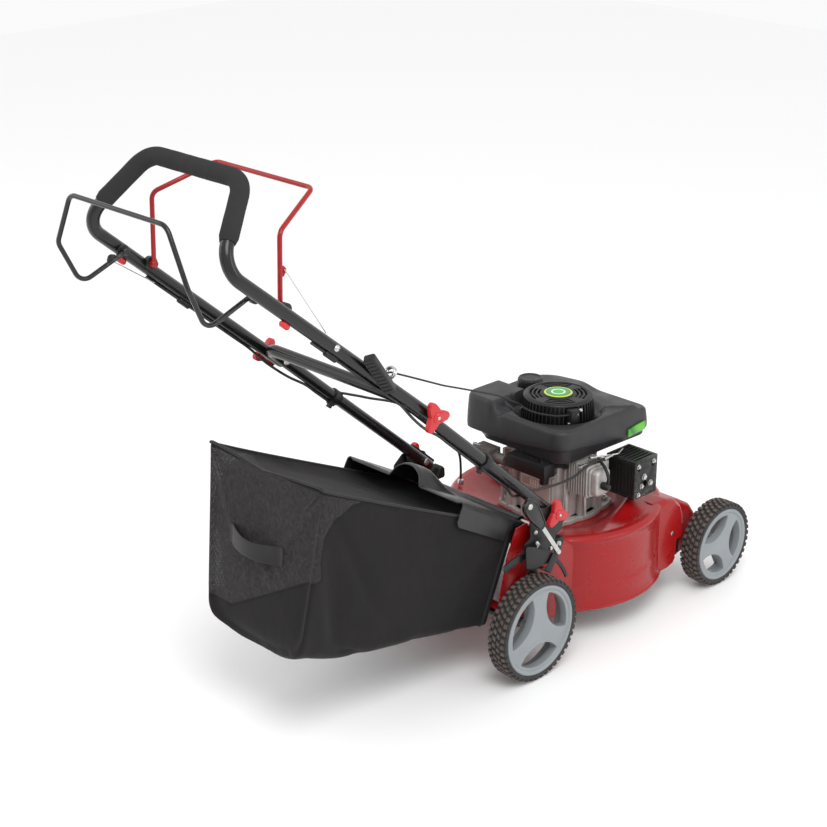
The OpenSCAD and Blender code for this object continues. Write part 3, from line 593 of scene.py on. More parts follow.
# ------------------------------------------------------------------ handle tubes
WHEELBASE = 555
BASE = Vector((165, 80, 300))
FOLD_LO = Vector((171, -267, 599))
FOLD_HI = Vector((195.5, -267, 599))
LOWER_TOP = Vector((172, -305, 631.8))
UPPER_BACK = Vector((173, -672, 935))
UPPER_TOP = Vector((115, -577, 1040))
RED_PIN = Vector((158, -548, 842))
BLACK_PIN = Vector((158, -604, 875))
RED_KNEE = Vector((158, -545, 962))
BLACK_KNEE = Vector((158, -692, 841))
TUBE_R = 11
UPPER_BEND = 42


def left(p):
    """The mirror image of a point across the middle plane."""
    return Vector((-p[0], p[1], p[2]))


def on_side(s, p):
    """The point itself on the right-hand side, s = 1, or its mirror image on the left, s = -1."""
    return p if s > 0 else left(p)


def both_sides(pts):
    """The right-hand points, then their mirror images back down the left."""
    pts = [Vector(p) for p in pts]
    return pts + [left(p) for p in reversed(pts)]


def upper_at(y):
    """The point of the upper tube's straight leg at this y."""
    return FOLD_HI + (UPPER_BACK - FOLD_HI) * ((y - FOLD_HI.y) / (UPPER_BACK.y - FOLD_HI.y))


base_end = BASE + (BASE - FOLD_LO).normalized() * 30
fold_end = FOLD_HI + (FOLD_HI - UPPER_BACK).normalized() * 28
lower_path = fillet_path(both_sides([base_end, LOWER_TOP]), 34, 7)
upper_path = fillet_path(both_sides([fold_end, UPPER_BACK, UPPER_TOP]), UPPER_BEND, 7)


def pressed_tube(name, path, crush):
    """A painted tube whose ends are pressed flat in the fore-and-aft plane."""
    path = [Vector(p) for p in path]
    first, last = path[1] - path[0], path[-1] - path[-2]
    shares = (0, 0.012, 0.03, 0.06, 0.1, 0.15)
    fine = [path[0] + first * t for t in shares] + path[1:-1]
    fine += [path[-1] - last * t for t in reversed(shares)]
    rings = []
    for i, (p, (_, side, up)) in enumerate(zip(fine, path_frames(fine))):
        near = min(i, len(fine) - 1 - i)
        tall = TUBE_R * (0.9 if near == 0 else 1.0)
        wide = tall * (1 - crush * max(0, 1 - near / 5) ** 1.5)
        rings.append([p + side * wide * math.cos(t) + up * tall * math.sin(t) for t in around(28)])
    bm = bmesh.new()
    ring_skin(bm, rings)
    return add_object(name + "_tube", bm, BLACK, name, replaces=(name,))


pressed_tube("lower_handle", lower_path, 0.25)
pressed_tube("upper_handle", upper_path, 0.3)


def foam_sleeve():
    """Foam grip: soft rounded ends, a slight waviness and a moulding line underneath."""
    u = (UPPER_TOP - UPPER_BACK).normalized()
    bend = (FOLD_HI - UPPER_BACK).angle(UPPER_TOP - UPPER_BACK)
    first = UPPER_BACK + u * (UPPER_BEND / math.tan(bend / 2) + 1)
    fine = dense(fillet_path(both_sides([first, UPPER_TOP]), UPPER_BEND, 5), 9)
    length = sum((b - a).length for a, b in zip(fine, fine[1:]))
    sides, seam_at = 36, 27
    run, rings = 0.0, []
    for i, (p, (_, a, b)) in enumerate(zip(fine, path_frames(fine))):
        if i:
            run += (p - fine[i - 1]).length
        end = min(run, length - run)
        r = 15 - 2.6 * max(0, 1 - end / 4) ** 2 + 0.12 * math.sin(run / 13) + 0.08 * math.sin(run / 5.1)
        rings.append([p + (a * math.cos(t) + b * math.sin(t)) * (r - (0.5 if k == seam_at else 0))
                      for k, t in enumerate(around(sides))])
    bm = bmesh.new()
    vs = ring_skin(bm, rings, caps=False)
    for row, ring in ((vs[0], rings[0]), (vs[-1], rings[-1])):
        c = sum(ring, Vector()) / len(ring)
        inner = [bm.verts.new(c + (q - c) * 0.76) for q in ring]
        for k in range(sides):
            bm.faces.new((row[k], row[(k + 1) % sides], inner[(k + 1) % sides], inner[k]))
        bm.faces.new(inner)
    o = add_object("foam_sleeve", bm, FOAM, "upper_handle", 50, ("foam_grip",))


foam_sleeve()

# ------------------------------------------------------------------ bails
red_path = fillet_path(both_sides([RED_PIN, RED_KNEE, (118, -442, 1003)]), 16, 10)
black_path = fillet_path(both_sides([BLACK_PIN, BLACK_KNEE, (163, -727, 915), (120, -727, 1001)]), 22, 10)


def bail(name, path, pin, tube_x, material, body, node):
    """Bent wire whose two ends are flattened round their pivot pins, and the pins across to the tube."""
    bm = bmesh.new()
    ring_skin(bm, sweep_rings(path, 4, 18))
    for s in (1, -1):
        c = Vector((s * pin.x, pin.y, pin.z))
        turned(bm, [(0, -5), (5.2, -5), (6.2, -4), (6.2, 4), (5.2, 5), (0, 5)], c, (1, 0, 0), 24)
        turned(bm, [(0, 0), (3.4, 0), (3.4, tube_x - TUBE_R - pin.x)], c, (s, 0, 0), 16)
    return add_object(name, bm, material, body, replaces=(node,))


bail("stop_bail_wire", red_path, RED_PIN, upper_at(-548).x, RED, "red_bail", "red_bail")
bail("drive_bail_wire", black_path, BLACK_PIN, upper_at(-604).x, BLACK, "black_bail",
     "black_bail")


def bail_lug(name, point, wire, mat, body):
    """The pressed tab low on a bail's leg that its cable hooks into."""
    bm = bmesh.new()
    along = (wire[1] - wire[0]).normalized()
    c = wire[0] + along * point
    f = along.cross(Vector((1, 0, 0))).normalized()
    out = [c + f * a + along * b for a, b in ((-4, -11), (7, -9), (12, -2), (12, 3), (7, 8), (-4, 10))]
    ring_skin(bm, [[q + Vector((x, 0, 0)) for q in out] for x in (-1.2, 1.2)])
    turned(bm, [(0, -2.4), (2.2, -2.4), (2.6, 0), (2.2, 2.4), (0, 2.4)], c + f * 8, (1, 0, 0), 14)
    return bevelled(add_object(name, bm, mat, body), 0.4)


bail_lug("stop_bail_tab", 58, [RED_PIN, RED_KNEE], RED, "red_bail")
bail_lug("drive_bail_tab", 28, [left(BLACK_PIN), left(BLACK_KNEE)], BLACK, "black_bail")
refined("bail_brackets", SATIN_BLACK, 0.6)

# ------------------------------------------------------------------ knobs
def wing_knob(name, node, side, centre, turn):
    """Three-lobed knob: flat swept lobes round a hub, with a steel screw end showing."""
    bm = bmesh.new()
    turned(bm, [(0, 0), (9.6, 0), (10.4, 1), (10.6, 12), (9.4, 15), (6, 16.6), (4, 16), (0, 16)], (0, 0, 0),
           (1, 0, 0), 40)
    lobe = rounded([(0, -12), (11, -11.5), (25, -7), (29.5, -2), (29, 4), (24, 8), (12, 11), (0, 12)],
                   [0, 6, 4, 4, 4, 5, 8, 0])
    for k in range(3):
        rot = Matrix.Rotation(math.radians(turn + 120 * k), 3, "X")
        ring_skin(bm, slab_rings(lobe, lambda p, x, rot=rot: rot @ Vector((x, p[0], p[1])), 2.5, 13.5, 2.2))
    for v in bm.verts:
        v.co = Vector((side * (centre[0] + v.co.x), centre[1] + v.co.y, centre[2] + v.co.z))
    add_object(name, bm, RED_PLASTIC, node, 40, (node,))
    bm = bmesh.new()
    turned(bm, [(0, 0), (3.1, 0), (3.1, 1.0), (2.6, 1.6), (0, 1.6)],
           Vector((side * (centre[0] + 15.8), centre[1], centre[2])), (side, 0, 0), 20)
    add_object(name + "_stud", bm, ZINC, node)


for body, side, x, p, turn in (("base_knob_l", -1, 180.3, BASE, 80), ("base_knob_r", 1, 180.3, BASE, 96),
                               ("fold_knob_l", -1, 207.5, FOLD_HI, 60),
                               ("fold_knob_r", 1, 207.5, FOLD_HI, 112)):
    wing_knob(body + "_wings", body, side, (x, p.y, p.z), turn)


# ------------------------------------------------------------------ wheels
TRACK = 456
TYRE_W = 43.5
RUBBER = 13
WHEEL_SIDES = 120
WHEELS = (("rl", -1, 0, 101.5, 30), ("rr", 1, 0, 101.5, 30),
          ("fl", -1, WHEELBASE, 89, -2), ("fr", 1, WHEELBASE, 89, -2))


def wheel_point(side, y, r, x, rad, ang):
    """x from the wheel's inner face, rad and ang round its axle."""
    return Vector((side * (TRACK / 2 - TYRE_W + x), y + rad * math.cos(ang), r + rad * math.sin(ang)))


def wheel_rings(side, y, r, profile, n):
    """A profile of (radius, distance from the inner face) pairs turned round the wheel's axle."""
    return [[wheel_point(side, y, r, x, rad, t) for t in around(n)] for rad, x in profile]


def tyre(tag, side, y, r):
    """Hollow-looking tyre with two staggered middle rows of lugs and shoulder lugs."""
    bm = bmesh.new()
    worn = bm.verts.layers.float.new("worn")
    base = r - 4.2
    half = [(r - RUBBER, 2), (r - RUBBER + 3, 0.7), (r - 8.5, 0.2), (r - 6.5, 0.9), (base - 0.6, 3.2),
            (base, 7)]
    profile = half + [(base + 0.2, TYRE_W / 2)] + [(rad, TYRE_W - x) for rad, x in reversed(half)]
    ring_skin(bm, wheel_rings(side, y, r, profile, WHEEL_SIDES), closed=True)
    count = 46 if r > 95 else 40
    step = 2 * math.pi / count

    def lug(x0, x1, a0, wide, skew, top, low):
        """One lug: tapered sides, its top scuffed; skew slants it across the tread."""
        rings = []
        for inset, grow, rad in ((0, 1.35, low), (0.5, 1.0, top - 0.8), (1.4, 0.78, top)):
            rings.append([])
            for x, turn, ends in ((x0 + inset, 0, (-1, 1)), (x1 - inset, skew, (1, -1))):
                drop = max(0, abs(x - TYRE_W / 2) - 15) ** 2 * 0.035
                rings[-1] += [wheel_point(side, y, r, x, rad - drop,
                                          a0 + turn + end * wide * grow / 2) for end in ends]
        levels = ring_skin(bm, rings, caps=False)
        for level, wear in ((1, 0.35), (2, 1.0)):
            for v in levels[level]:
                v[worn] = wear
        bm.faces.new(levels[2])

    wide = step * 0.52
    for i in range(count):
        a = i * step
        lug(12.6, 21.3, a, wide, 0.25 * step, r, base - 0.5)
        lug(22.2, 30.9, a + step / 2, wide, 0.25 * step, r, base - 0.5)
        lug(2.2, 11.4, a + step / 2, wide * 1.1, 0, r - 0.3, base - 1.6)
        lug(32.1, 41.3, a + step * 0.95, wide * 1.1, 0, r - 0.3, base - 1.6)
        for x0, x1, shift in ((0.1, 2.0, 0.5), (TYRE_W - 2.0, TYRE_W - 0.1, 0.95)):
            ring_skin(bm, [[wheel_point(side, y, r, x, rad, a + step * shift + end * wide * grow / 2)
                            for x, end in ((x0, -1), (x0, 1), (x1, 1), (x1, -1))]
                           for rad, grow in ((r - 9.5, 0.7), (r - 3.0, 1.1))])
    return add_object("tyre_tread_" + tag, bm, TREAD, "wheel_" + tag, 28, ("tyre_" + tag,))


def lens(web_r, ang):
    """Outline of one wheel opening, between the rim's circle and an arc bulging at the hub."""
    big, small = web_r - 4, web_r * 0.78
    off = web_r * 1.12
    cx = (off ** 2 + big ** 2 - small ** 2) / (2 * off)
    half_big = math.acos(cx / big)
    half_small = math.acos((off - cx) / small)
    pts = [(big * math.cos(t), big * math.sin(t)) for t in np.linspace(-half_big, half_big, 22)]
    pts += [(off - small * math.cos(t), small * math.sin(t))
            for t in np.linspace(half_small, -half_small, 26)[1:-1]]
    pts = rounded(pts, [5 if i in (0, 21) else 0 for i in range(len(pts))], 15)
    c, s = math.cos(ang), math.sin(ang)
    return [(p[0] * c - p[1] * s, p[0] * s + p[1] * c) for p in pts]


def rim(tag, side, y, r, turn):
    """Moulded rim: outer lip, a deep web with three lens-shaped openings, and the hub."""
    seat = r - RUBBER - 0.3
    web_r = seat - 9
    curve = bpy.data.curves.new("web", "CURVE")
    curve.dimensions = "2D"
    curve.fill_mode = "BOTH"
    curve.extrude = 7.0 / 1000
    curve.bevel_depth = 1.5 / 1000
    curve.bevel_resolution = 3
    outlines = [[((web_r + 1) * math.cos(t), (web_r + 1) * math.sin(t)) for t in around(96)]]
    outlines += [lens(web_r, math.radians(turn + a)) for a in (0, 120, 240)]
    for pts in outlines:
        sp = curve.splines.new("POLY")
        sp.points.add(len(pts) - 1)
        for q, p in zip(sp.points, pts):
            q.co = (p[0] / 1000, p[1] / 1000, 0, 1)
        sp.use_cyclic_u = True
    tmp = bpy.data.objects.new("web", curve)
    bpy.context.scene.collection.objects.link(tmp)
    me = bpy.data.meshes.new_from_object(tmp.evaluated_get(bpy.context.evaluated_depsgraph_get()))
    bpy.data.objects.remove(tmp)
    bm = bmesh.new()
    bm.from_mesh(me)
    bpy.data.meshes.remove(me)
    bmesh.ops.remove_doubles(bm, verts=bm.verts, dist=1e-6)
    web_x = TRACK / 2 - 12
    for v in bm.verts:
        p = v.co * 1000
        crown = 1.6 * max(0, 1 - math.hypot(p.x, p.y) / web_r) if p.z > 0 else 0
        v.co = Vector((side * (web_x + p.z + crown), y + p.x, r + p.y))
    lip = [(0, 2.4), (0.8, 1.2), (2.6, 0.5), (4.6, 0.6), (6.6, 1.4), (8.2, 3.0), (9.2, 5.0), (9.6, 8),
           (9.2, 18),
           (5, 21), (3, 24)]
    edge = [(seat, 3)] + [(seat - drop, TYRE_W - x) for drop, x in lip] + [(seat - 3, 3)]
    ring_skin(bm, wheel_rings(side, y, r, edge, WHEEL_SIDES), closed=True)
    hub = [(0.01, 25), (6.2, 25), (6.2, 2.2), (13.5, 2.2), (14.6, 3.4), (14.8, 24), (17, 28), (0.01, 28)]
    ring_skin(bm, wheel_rings(side, y, r, hub, 40), caps=False)
    for i in range(3):
        ang = math.radians(turn + 60 + 120 * i)
        d = Vector((0, math.cos(ang), math.sin(ang)))
        w = Vector((0, -math.sin(ang), math.cos(ang)))
        for off in (-9, 9):
            o = Vector((side * (TRACK / 2 - TYRE_W), y, r)) + w * off
            ring_skin(bm, [[o + d * rad + w * t + Vector((side * x, 0, 0))
                            for x, t in ((9, -1), (9, 1), (26, 1), (26, -1))] for rad in (13, web_r)])
    return add_object("rim_face_" + tag, bm, GREY, "wheel_" + tag, 32, ("rim_" + tag,))


for tag, side, y, r, turn in WHEELS:
    tyre(tag, side, y, r)
    rim(tag, side, y, r, turn)


# ------------------------------------------------------------------ deck
DECK_Y = HUB.y
DECK_R = 211
SEAT_Z = 192
RIM_Z = 60
STEEL = 2.2


def cut_by(o, cutter):
    """Removes the cutter's volume from the piece, and the cutter from the scene."""
    m = o.modifiers.new("cut", "BOOLEAN")
    m.operation = "DIFFERENCE"
    m.solver = "EXACT"
    m.object = cutter
    apply_modifiers(o)
    bpy.data.objects.remove(cutter)
    shade(o, 32)


def offset_profile(pts, t):
    """The same open profile moved t to the left of its travel."""
    out = []
    for i, p in enumerate(pts):
        a = pts[max(i - 1, 0)]
        b = pts[min(i + 1, len(pts) - 1)]
        d = (b - a).normalized()
        out.append(p + Vector((-d.y, d.x)) * t)
    return out


def open_rounded(pts, r):
    """An open profile with its inner corners rounded."""
    return [Vector((p.x, p.z)) for p in fillet_path([(a, 0, b) for a, b in pts], r, 14)]


def deck_bowl():
    """The pressed bowl: seat, volute dome, shoulder, bead, skirt with its panel, rolled rim."""
    prof = open_rounded([(60, SEAT_Z), (114, SEAT_Z), (124, 195), (150, 204), (178, 211.5), (196, 215),
                         (206, 215), (213.6, 209), (213.4, 202.5), (DECK_R, 198), (DECK_R + 0.6, 110),
                         (DECK_R + 1.4, 76), (DECK_R + 5, 65)], 6)
    fine = dense(prof, 7)
    loop = fine + offset_profile(fine, -STEEL)[::-1]
    sides = 240
    rings = []
    for ang in around(sides):
        deg = (math.degrees(ang) + 180) % 360 - 180
        around_rear = (deg + 95) % 360
        ring = []
        for r, z in loop:
            panel = smoothstep((z - 103 - 0.12 * (deg + 40)) / 3.5) * smoothstep((196 - z) / 4)
            panel *= smoothstep((27 - deg) / 1.8) * smoothstep((deg + 95) / 8)
            if r > 205:
                r -= 1.9 * panel
            if r < 204:
                swell = smoothstep((around_rear - 78) / 42) * smoothstep((292 - around_rear) / 40)
                z += 27 * math.exp(-((r - 150) / 22) ** 2) * swell
            ring.append(Vector((r * math.cos(ang), DECK_Y + r * math.sin(ang), z)))
        rings.append(ring)
    bm = bmesh.new()
    ring_skin(bm, rings, closed=True)
    bowl = add_object("deck_bowl", bm, RED, "deck", 32)
    tunnel = [(150, 150), (150, 203), (120, 222), (20, 281), (-60, 281), (-60, 140), (60, 58), (110, 58)]
    bm = bmesh.new()
    ring_skin(bm, across(tunnel, -160, 160))
    for deg, span, r in ((52, 7, 146), (63, 5, 146), (41, 3, 112), (120, 7, 146), (-40, 6, 146)):
        sweep = [polar(deg + span * t) for t in (-0.5, -0.25, 0, 0.25, 0.5)]
        slot = [d * (r - 2.4) for d in sweep] + [d * (r + 2.4) for d in reversed(sweep)]
        ring_skin(bm, [[Vector((p.x, p.y + DECK_Y, z)) for p in slot] for z in (188, 240)])
    cut_by(bowl, add_object("deck_cutter", bm, RED, None))
    bead = 3.6
    section = [(DECK_R + 3 + bead * math.cos(t), RIM_Z + 3.7 + bead * math.sin(t)) for t in around(14)]
    bm = bmesh.new()
    ring_skin(bm, [[Vector((r * math.cos(a), DECK_Y + r * math.sin(a), z)) for r, z in section]
                   for a in around(sides)], closed=True)
    roll = add_object("deck_rim_roll", bm, RED, "deck", 60)
    bm = bmesh.new()
    ring_skin(bm, across(tunnel, -158, 158))
    cut_by(roll, add_object("rim_cutter", bm, RED, None))
    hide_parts("deck_shell")


def folded_sheet(bm, roof, rest, x_in, x_out, fold, thick, side):
    """A side plate whose top edge folds inwards as a roof; side is +1 or -1."""
    roof = open_rounded(roof, 26)
    if (roof[-1] - roof[0]).x < 0:
        roof, rest = roof[::-1], rest[::-1]
    fine = dense(roof, 8)
    skins, edges = [], []
    for depth in (0, thick):
        rows = []
        for i, p in enumerate(fine):
            d = (fine[min(i + 1, len(fine) - 1)] - fine[max(i - 1, 0)]).normalized()
            down = Vector((d.y, -d.x))
            q = p + down * depth
            row = [Vector((side * x, q.x, q.y)) for x in np.linspace(x_in, x_out - fold, 5)]
            for t in (20, 40, 60, 75, 90):
                c, s = polar(t)
                q = p + down * (fold - (fold - depth) * c)
                row.append(Vector((side * (x_out - fold + (fold - depth) * s), q.x, q.y)))
            rows.append(row)
        skins.append([[bm.verts.new(p) for p in row] for row in rows])
        edges.append([bm.verts.new(side_place(p, side * (x_out - depth))) for p in rest])
    outer, inner = skins
    for i in range(len(outer) - 1):
        for k in range(len(outer[0]) - 1):
            bm.faces.new((outer[i][k], outer[i + 1][k], outer[i + 1][k + 1], outer[i][k + 1]))
            bm.faces.new((inner[i][k], inner[i][k + 1], inner[i + 1][k + 1], inner[i + 1][k]))
    for rows, low in zip(skins, edges):
        bm.faces.new([row[-1] for row in rows] + low)
    for a, b in ((outer[-1], inner[-1]), (outer[0], inner[0]),
                 ([row[0] for row in outer], [row[0] for row in inner]),
                 [[rows[-1][-1]] + low + [rows[0][-1]] for rows, low in zip(skins, edges)]):
        for k in range(len(a) - 1):
            bm.faces.new((a[k], a[k + 1], b[k + 1], b[k]))


def deck_sides():
    """Front fenders in two steps, and the rear tunnel's roof and side plates."""
    for name, roof, rest, x_in, x_out, fold in (
            ("fender_outer", [(384, 217), (424, 216), (452, 208), (472, 190), (482, 166), (483, 148)],
             [(479, 122), (457, 118), (457, 92), (449, 87), (456, 80), (450, 70), (430, 64), (384, 64)],
             96, 182.5, 13),
            ("fender_inner", [(440, 205), (482, 194), (518, 173), (544, 138), (551, 108)],
             [(548, 98), (538, 86), (500, 80), (452, 66), (440, 66)], 90, 168.5, 10),
            ("tunnel", [(186, 193), (164, 204), (120, 227), (54, 276), (45, 281)],
             [(26, 291), (-4, 289), (-27, 236), (-53, 120), (-53, 112), (-46, 100), (-30, 95), (30, 78),
              (110, 66), (158, 75)], 0, 163, 7)):
        bm = bmesh.new()
        for side in (1, -1):
            folded_sheet(bm, roof, rest, x_in, x_out, fold, 2.0, side)
        bmesh.ops.remove_doubles(bm, verts=bm.verts, dist=0.01)
        add_object("deck_" + name, bm, RED, "deck", 32)
    bm = bmesh.new()
    floor = open_rounded([(-48, 140), (-20, 136), (78, 76), (84, 64)], 12)
    ring_skin(bm, across(floor + offset_profile(floor, -2)[::-1], -160, 160))
    add_object("deck_tunnel_floor", bm, RED, "deck", 32)
    bm = bmesh.new()
    for side in (1, -1):
        ring = []
        for t in around(28):
            c = Vector((side * 163.2, 2 + 11 * math.cos(t), 232 + 6.5 * math.sin(t)))
            out = Vector((0, math.cos(t), math.sin(t)))
            ring.append([c + out * 2.0 * math.cos(a) + Vector((side, 0,
                                                               0)) * 1.5 * math.sin(a) for a in around(10)])
        ring_skin(bm, ring, closed=True)
    add_object("deck_side_press_marks", bm, RED, "deck", 60)


deck_bowl()
deck_sides()


# ------------------------------------------------------------------ engine
SINK = 27.5
FLANGE_Z = 232
COWL_LOW = 331.5
COVER_TOP = 430.9
COWL_PLAN = rounded([(-166, 212), (-150, 189), (84, 187), (106, 206), (107, 250), (107, 442), (92, 456),
                     (-80, 457),
                     (-134, 441), (-166, 392)], [26, 30, 34, 30, 40, 26, 24, 40, 40, 40])


def ray_to(outline, centre, ang):
    """How far a ray from the centre runs before it crosses the outline."""
    d = Vector((math.cos(ang), math.sin(ang)))
    best = 1e9
    for i in range(len(outline)):
        a, b = outline[i - 1] - centre, outline[i] - centre
        e = b - a
        den = d.x * e.y - d.y * e.x
        if abs(den) < 1e-9:
            continue
        t = (a.x * e.y - a.y * e.x) / den
        s = (a.x * d.y - a.y * d.x) / den
        if t > 0 and -1e-6 <= s <= 1 + 1e-6:
            best = min(best, t)
    return best


def cowl_top(x, y):
    """Height of the cowl's top: plateau, dish round the starter, tank block, notch and ridge."""
    r = math.hypot(x - HUB.x, y - HUB.y)
    ahead = (62 * (y - 344) - 63 * (x - 45)) / 88.4
    z = 399 - 7 * smoothstep((ahead - 3) / 8) * smoothstep((y - 330) / 20) * smoothstep((x + 70) / 50)
    z += 3.5 * math.exp(-((ahead + 1) / 7) ** 2) * smoothstep((r - 84) / 20) * smoothstep((x - 20) / 30)
    z -= 6 * smoothstep((y - 400) / 55)
    z = 381 + (z - 381) * smoothstep((r - 76) / 17)
    block = smoothstep((-76 - x) / 9) * smoothstep((296 - y) / 9)
    z += (415.5 - z) * block
    z -= 7 * math.exp(-((x + 64) / 7) ** 2) * smoothstep((262 - y) / 30)
    return z


def cowl():
    """The engine cowl: one moulded skin with soft edges, open underneath and at the starter."""
    shares = (0, .06, .12, .18, .24, .3, .36, .43, .5, .57, .64, .71, .78, .85, .92, 1)
    hole, round_in, round_r = 66, 13, 10
    columns = []
    for ang in around(220):
        reach = ray_to(COWL_PLAN, HUB, ang)
        d = Vector((math.cos(ang), math.sin(ang)))
        edge = HUB + d * reach
        low = COWL_LOW + 12.5 + 17 * math.exp(-((edge - Vector((104, 200))).length / 95) ** 2)
        tuck = reach - (8 + 22 * smoothstep((-100 - edge.x) / 50))
        brim = reach - round_in

        def on_ray(r, z=None, drop=0):
            p = HUB + d * r
            return Vector((p.x, p.y, cowl_top(p.x, p.y) - drop if z is None else z))

        col = [on_ray(hole + (brim - hole) * t) for t in shares]
        z0 = col[-1].z
        for t in (18, 36, 54, 72, 90):
            c, s = polar(t)
            col.append(on_ray(brim + round_r * s, z0 - round_r * (1 - c)))
        for share, out in ((0.25, 1.2), (0.5, 2.2), (0.75, 2.8), (0.92, 3.0)):
            col.append(on_ray(brim + round_r + out, z0 - round_r + (low + 4 - z0 + round_r) * share))
        for r, z in ((reach - 0.6, low + 1.5), (reach - 4, low), (tuck + 1, low - 1.5), (tuck, low - 4),
                     (tuck, COWL_LOW + 1.5), (tuck - 1, COWL_LOW), (tuck - 3, COWL_LOW), (tuck - 3, low + 3),
                     (reach - 6, low + 8)):
            col.append(on_ray(r, z))
        col.append(on_ray(reach - 6, z0 - 14))
        col += [on_ray(r, drop=3) for r in (reach - 14, hole + (reach - 14 - hole) * 0.5, hole)]
        columns.append(col)
    bm = bmesh.new()
    ring_skin(bm, columns, closed=True)
    return add_object("cowl_shell", bm, COWL, "deck", 38, ("engine_cowl",))


def starter_cover():
    """Recoil starter housing: a slotted drum with a vented top and a rope outlet block."""
    c = Vector((HUB.x, HUB.y, 0))
    bm = bmesh.new()
    turned(bm, [(60, 380), (72.6, 380), (73.4, 382), (73, 385), (64.4, 386), (64.4, 424), (68.6, 424.6),
                (68.6, 426), (67.4, 428), (65, 429.4), (61.5, 430.2), (60, 430.3), (58.6, 429), (33, 429),
                (31, 430.6), (29.5, COVER_TOP), (0, COVER_TOP)], c, (0, 0, 1), 120)
    o = add_object("starter_cover", bm, PLASTIC, "deck", 40, ("recoil_cover",))
    bm = bmesh.new()
    for r in (36, 44, 52):
        for a0 in (12, 102, 192, 282):
            arc = [polar(a0 + 66 * t / 12) for t in range(13)]
            vent = [d * r for d in arc] + [d * (r + 4.6) for d in reversed(arc)]
            ring_skin(bm, [[Vector((p.x + HUB.x, p.y + HUB.y, z)) for p in vent] for z in (423.5, 434)])
    cut_by(o, add_object("vent_cutter", bm, PLASTIC, None))

    def at_turn(deg, x, y, z):
        return c + Matrix.Rotation(math.radians(deg), 3, "Z") @ Vector((x, y, 0)) + Vector((0, 0, z))

    bm = bmesh.new()
    for k in range(54):
        deg = 360 * k / 54
        if not -38 < (deg + 180) % 360 - 180 < -14:
            ring_skin(bm, [[at_turn(deg, x, y, z) for x, y in ((62, -1.5), (r, -1.25), (r, 1.25), (62, 1.5))]
                           for r, z in ((72.8, 384), (71, 404), (68.4, 425.4))])
    outlet = rounded([(60, -14), (84, -9), (84, 7), (60, 12)], [0, 4, 4, 0])
    plate(bm, outlet, 392, 423, 1.6, lambda p, z: at_turn(-25, p[0], p[1], z))
    add_object("starter_cover_ribs", bm, PLASTIC, "deck", 30)
    bm = bmesh.new()
    eyelet = [(2.6, -2), (5.4, -2), (6, -1), (5.4, 1.5), (4, 2.2), (2.6, 1.4), (2.6, -2)]
    turned(bm, eyelet, (72.4, 262.6, 414), (-0.34, -0.94, 0.02), 28)
    for p, r in (((79, 268, 423.2), 3.6), ((-52, 246, 396), 3.4), ((66, 250, 396.2), 4.2)):
        turned(bm, [(0, -2), (r, -2), (r, 0.6), (r * 0.7, 1.6), (0, 1.8)], p, (0, 0, 1), 20)
    add_object("starter_ferrules", bm, ZINC, "deck")


def printed_discs():
    """The green disc, the side label and the plain plate, each a thin printed film."""
    bm = bmesh.new()
    disc = [(0, COVER_TOP), (27.4, COVER_TOP), (28, 431.3), (27.2, 431.9), (22, 432.3), (0, 432.4)]
    turned(bm, disc, (HUB.x, HUB.y, 0), (0, 0, 1), 72)
    add_object("cover_disc", bm, BADGE, "deck", replaces=("badges",))
    bm = bmesh.new()
    plate(bm, rounded([(379, 342), (431, 346), (431, 364), (379, 358)], 2), 107.2, 110.6, 0.3)
    add_object("side_label", bm, LABEL, "deck")

    def on_crankcase(p, z):
        return Vector((p[0], 203.9 - z, p[1]))

    bm = bmesh.new()
    plate(bm, rounded([(-14, 260), (42, 260), (42, 284), (-14, 284)], 3), 0, 1.2, 0.4, on_crankcase)
    add_object("plain_plate", bm, CAST, "deck")
    bm = bmesh.new()
    frame_bars = [(-12.5, 40.5, 281, 282.4), (-12.5, 40.5, 261.6, 263), (-12.5, -11, 262, 282),
                  (39, 40.5, 262, 282)]
    for x0, x1, z0, z1 in frame_bars + [(x, x + 3, 265.5, 278.5) for x in (12, 18, 24, 30)]:
        plate(bm, [(x0, z0), (x1, z0), (x1, z1), (x0, z1)], 1.2, 1.5, 0, on_crankcase)
    add_object("plain_plate_frame", bm, TANK, "deck")


def caps():
    """Fuel cap with soft ribs and a shallow dished top, and the ribbed oil plug."""
    c = mid("fuel_cap")
    ribs = 24
    rings = []
    for r, z, rib in ((16.5, 400.6, 0), (24, 400.6, 0), (25.5, 402, 0.3), (25.9, 406, 0.9), (25.8, 414, 0.9),
                      (25.2, 418.4, 0.6), (23.4, 421, 0.2), (20.6, 421.5, 0), (19, 420.2, 0), (10, 420.5, 0),
                      (0.4, 421, 0)):
        ring = []
        for t in around(6 * ribs):
            rad = r - rib * (0.5 + 0.5 * math.cos(ribs * t))
            ring.append(Vector((c.x + rad * math.cos(t), c.y + rad * math.sin(t), z)))
        rings.append(ring)
    bm = bmesh.new()
    ring_skin(bm, rings)
    add_object("fuel_cap_knob", bm, PLASTIC, "fuel_cap", 50, ("fuel_cap",))
    c = mid("oil_plug")
    c.z = 0
    bm = bmesh.new()
    turned(bm, [(0, 280), (8, 280), (8, 295), (12.4, 295.6), (12.8, 297), (12.8, 308), (12, 310), (9, 310.4),
                (8, 312), (8, 318.6), (0, 318.8)], c, (0, 0, 1), 40)
    for t in around(16):
        turn = Matrix.Rotation(t, 3, "Z")
        box = [c + turn @ Vector((x, y, 0)) for x, y in ((11, -0.9), (13.4, -0.7), (13.4, 0.7), (11, 0.9))]
        ring_skin(bm, [[p + Vector((0, 0, z)) for p in box] for z in (296.4, 309.2)])
    add_object("oil_plug_knob", bm, PLASTIC, "oil_plug", 40, ("oil_plug",))


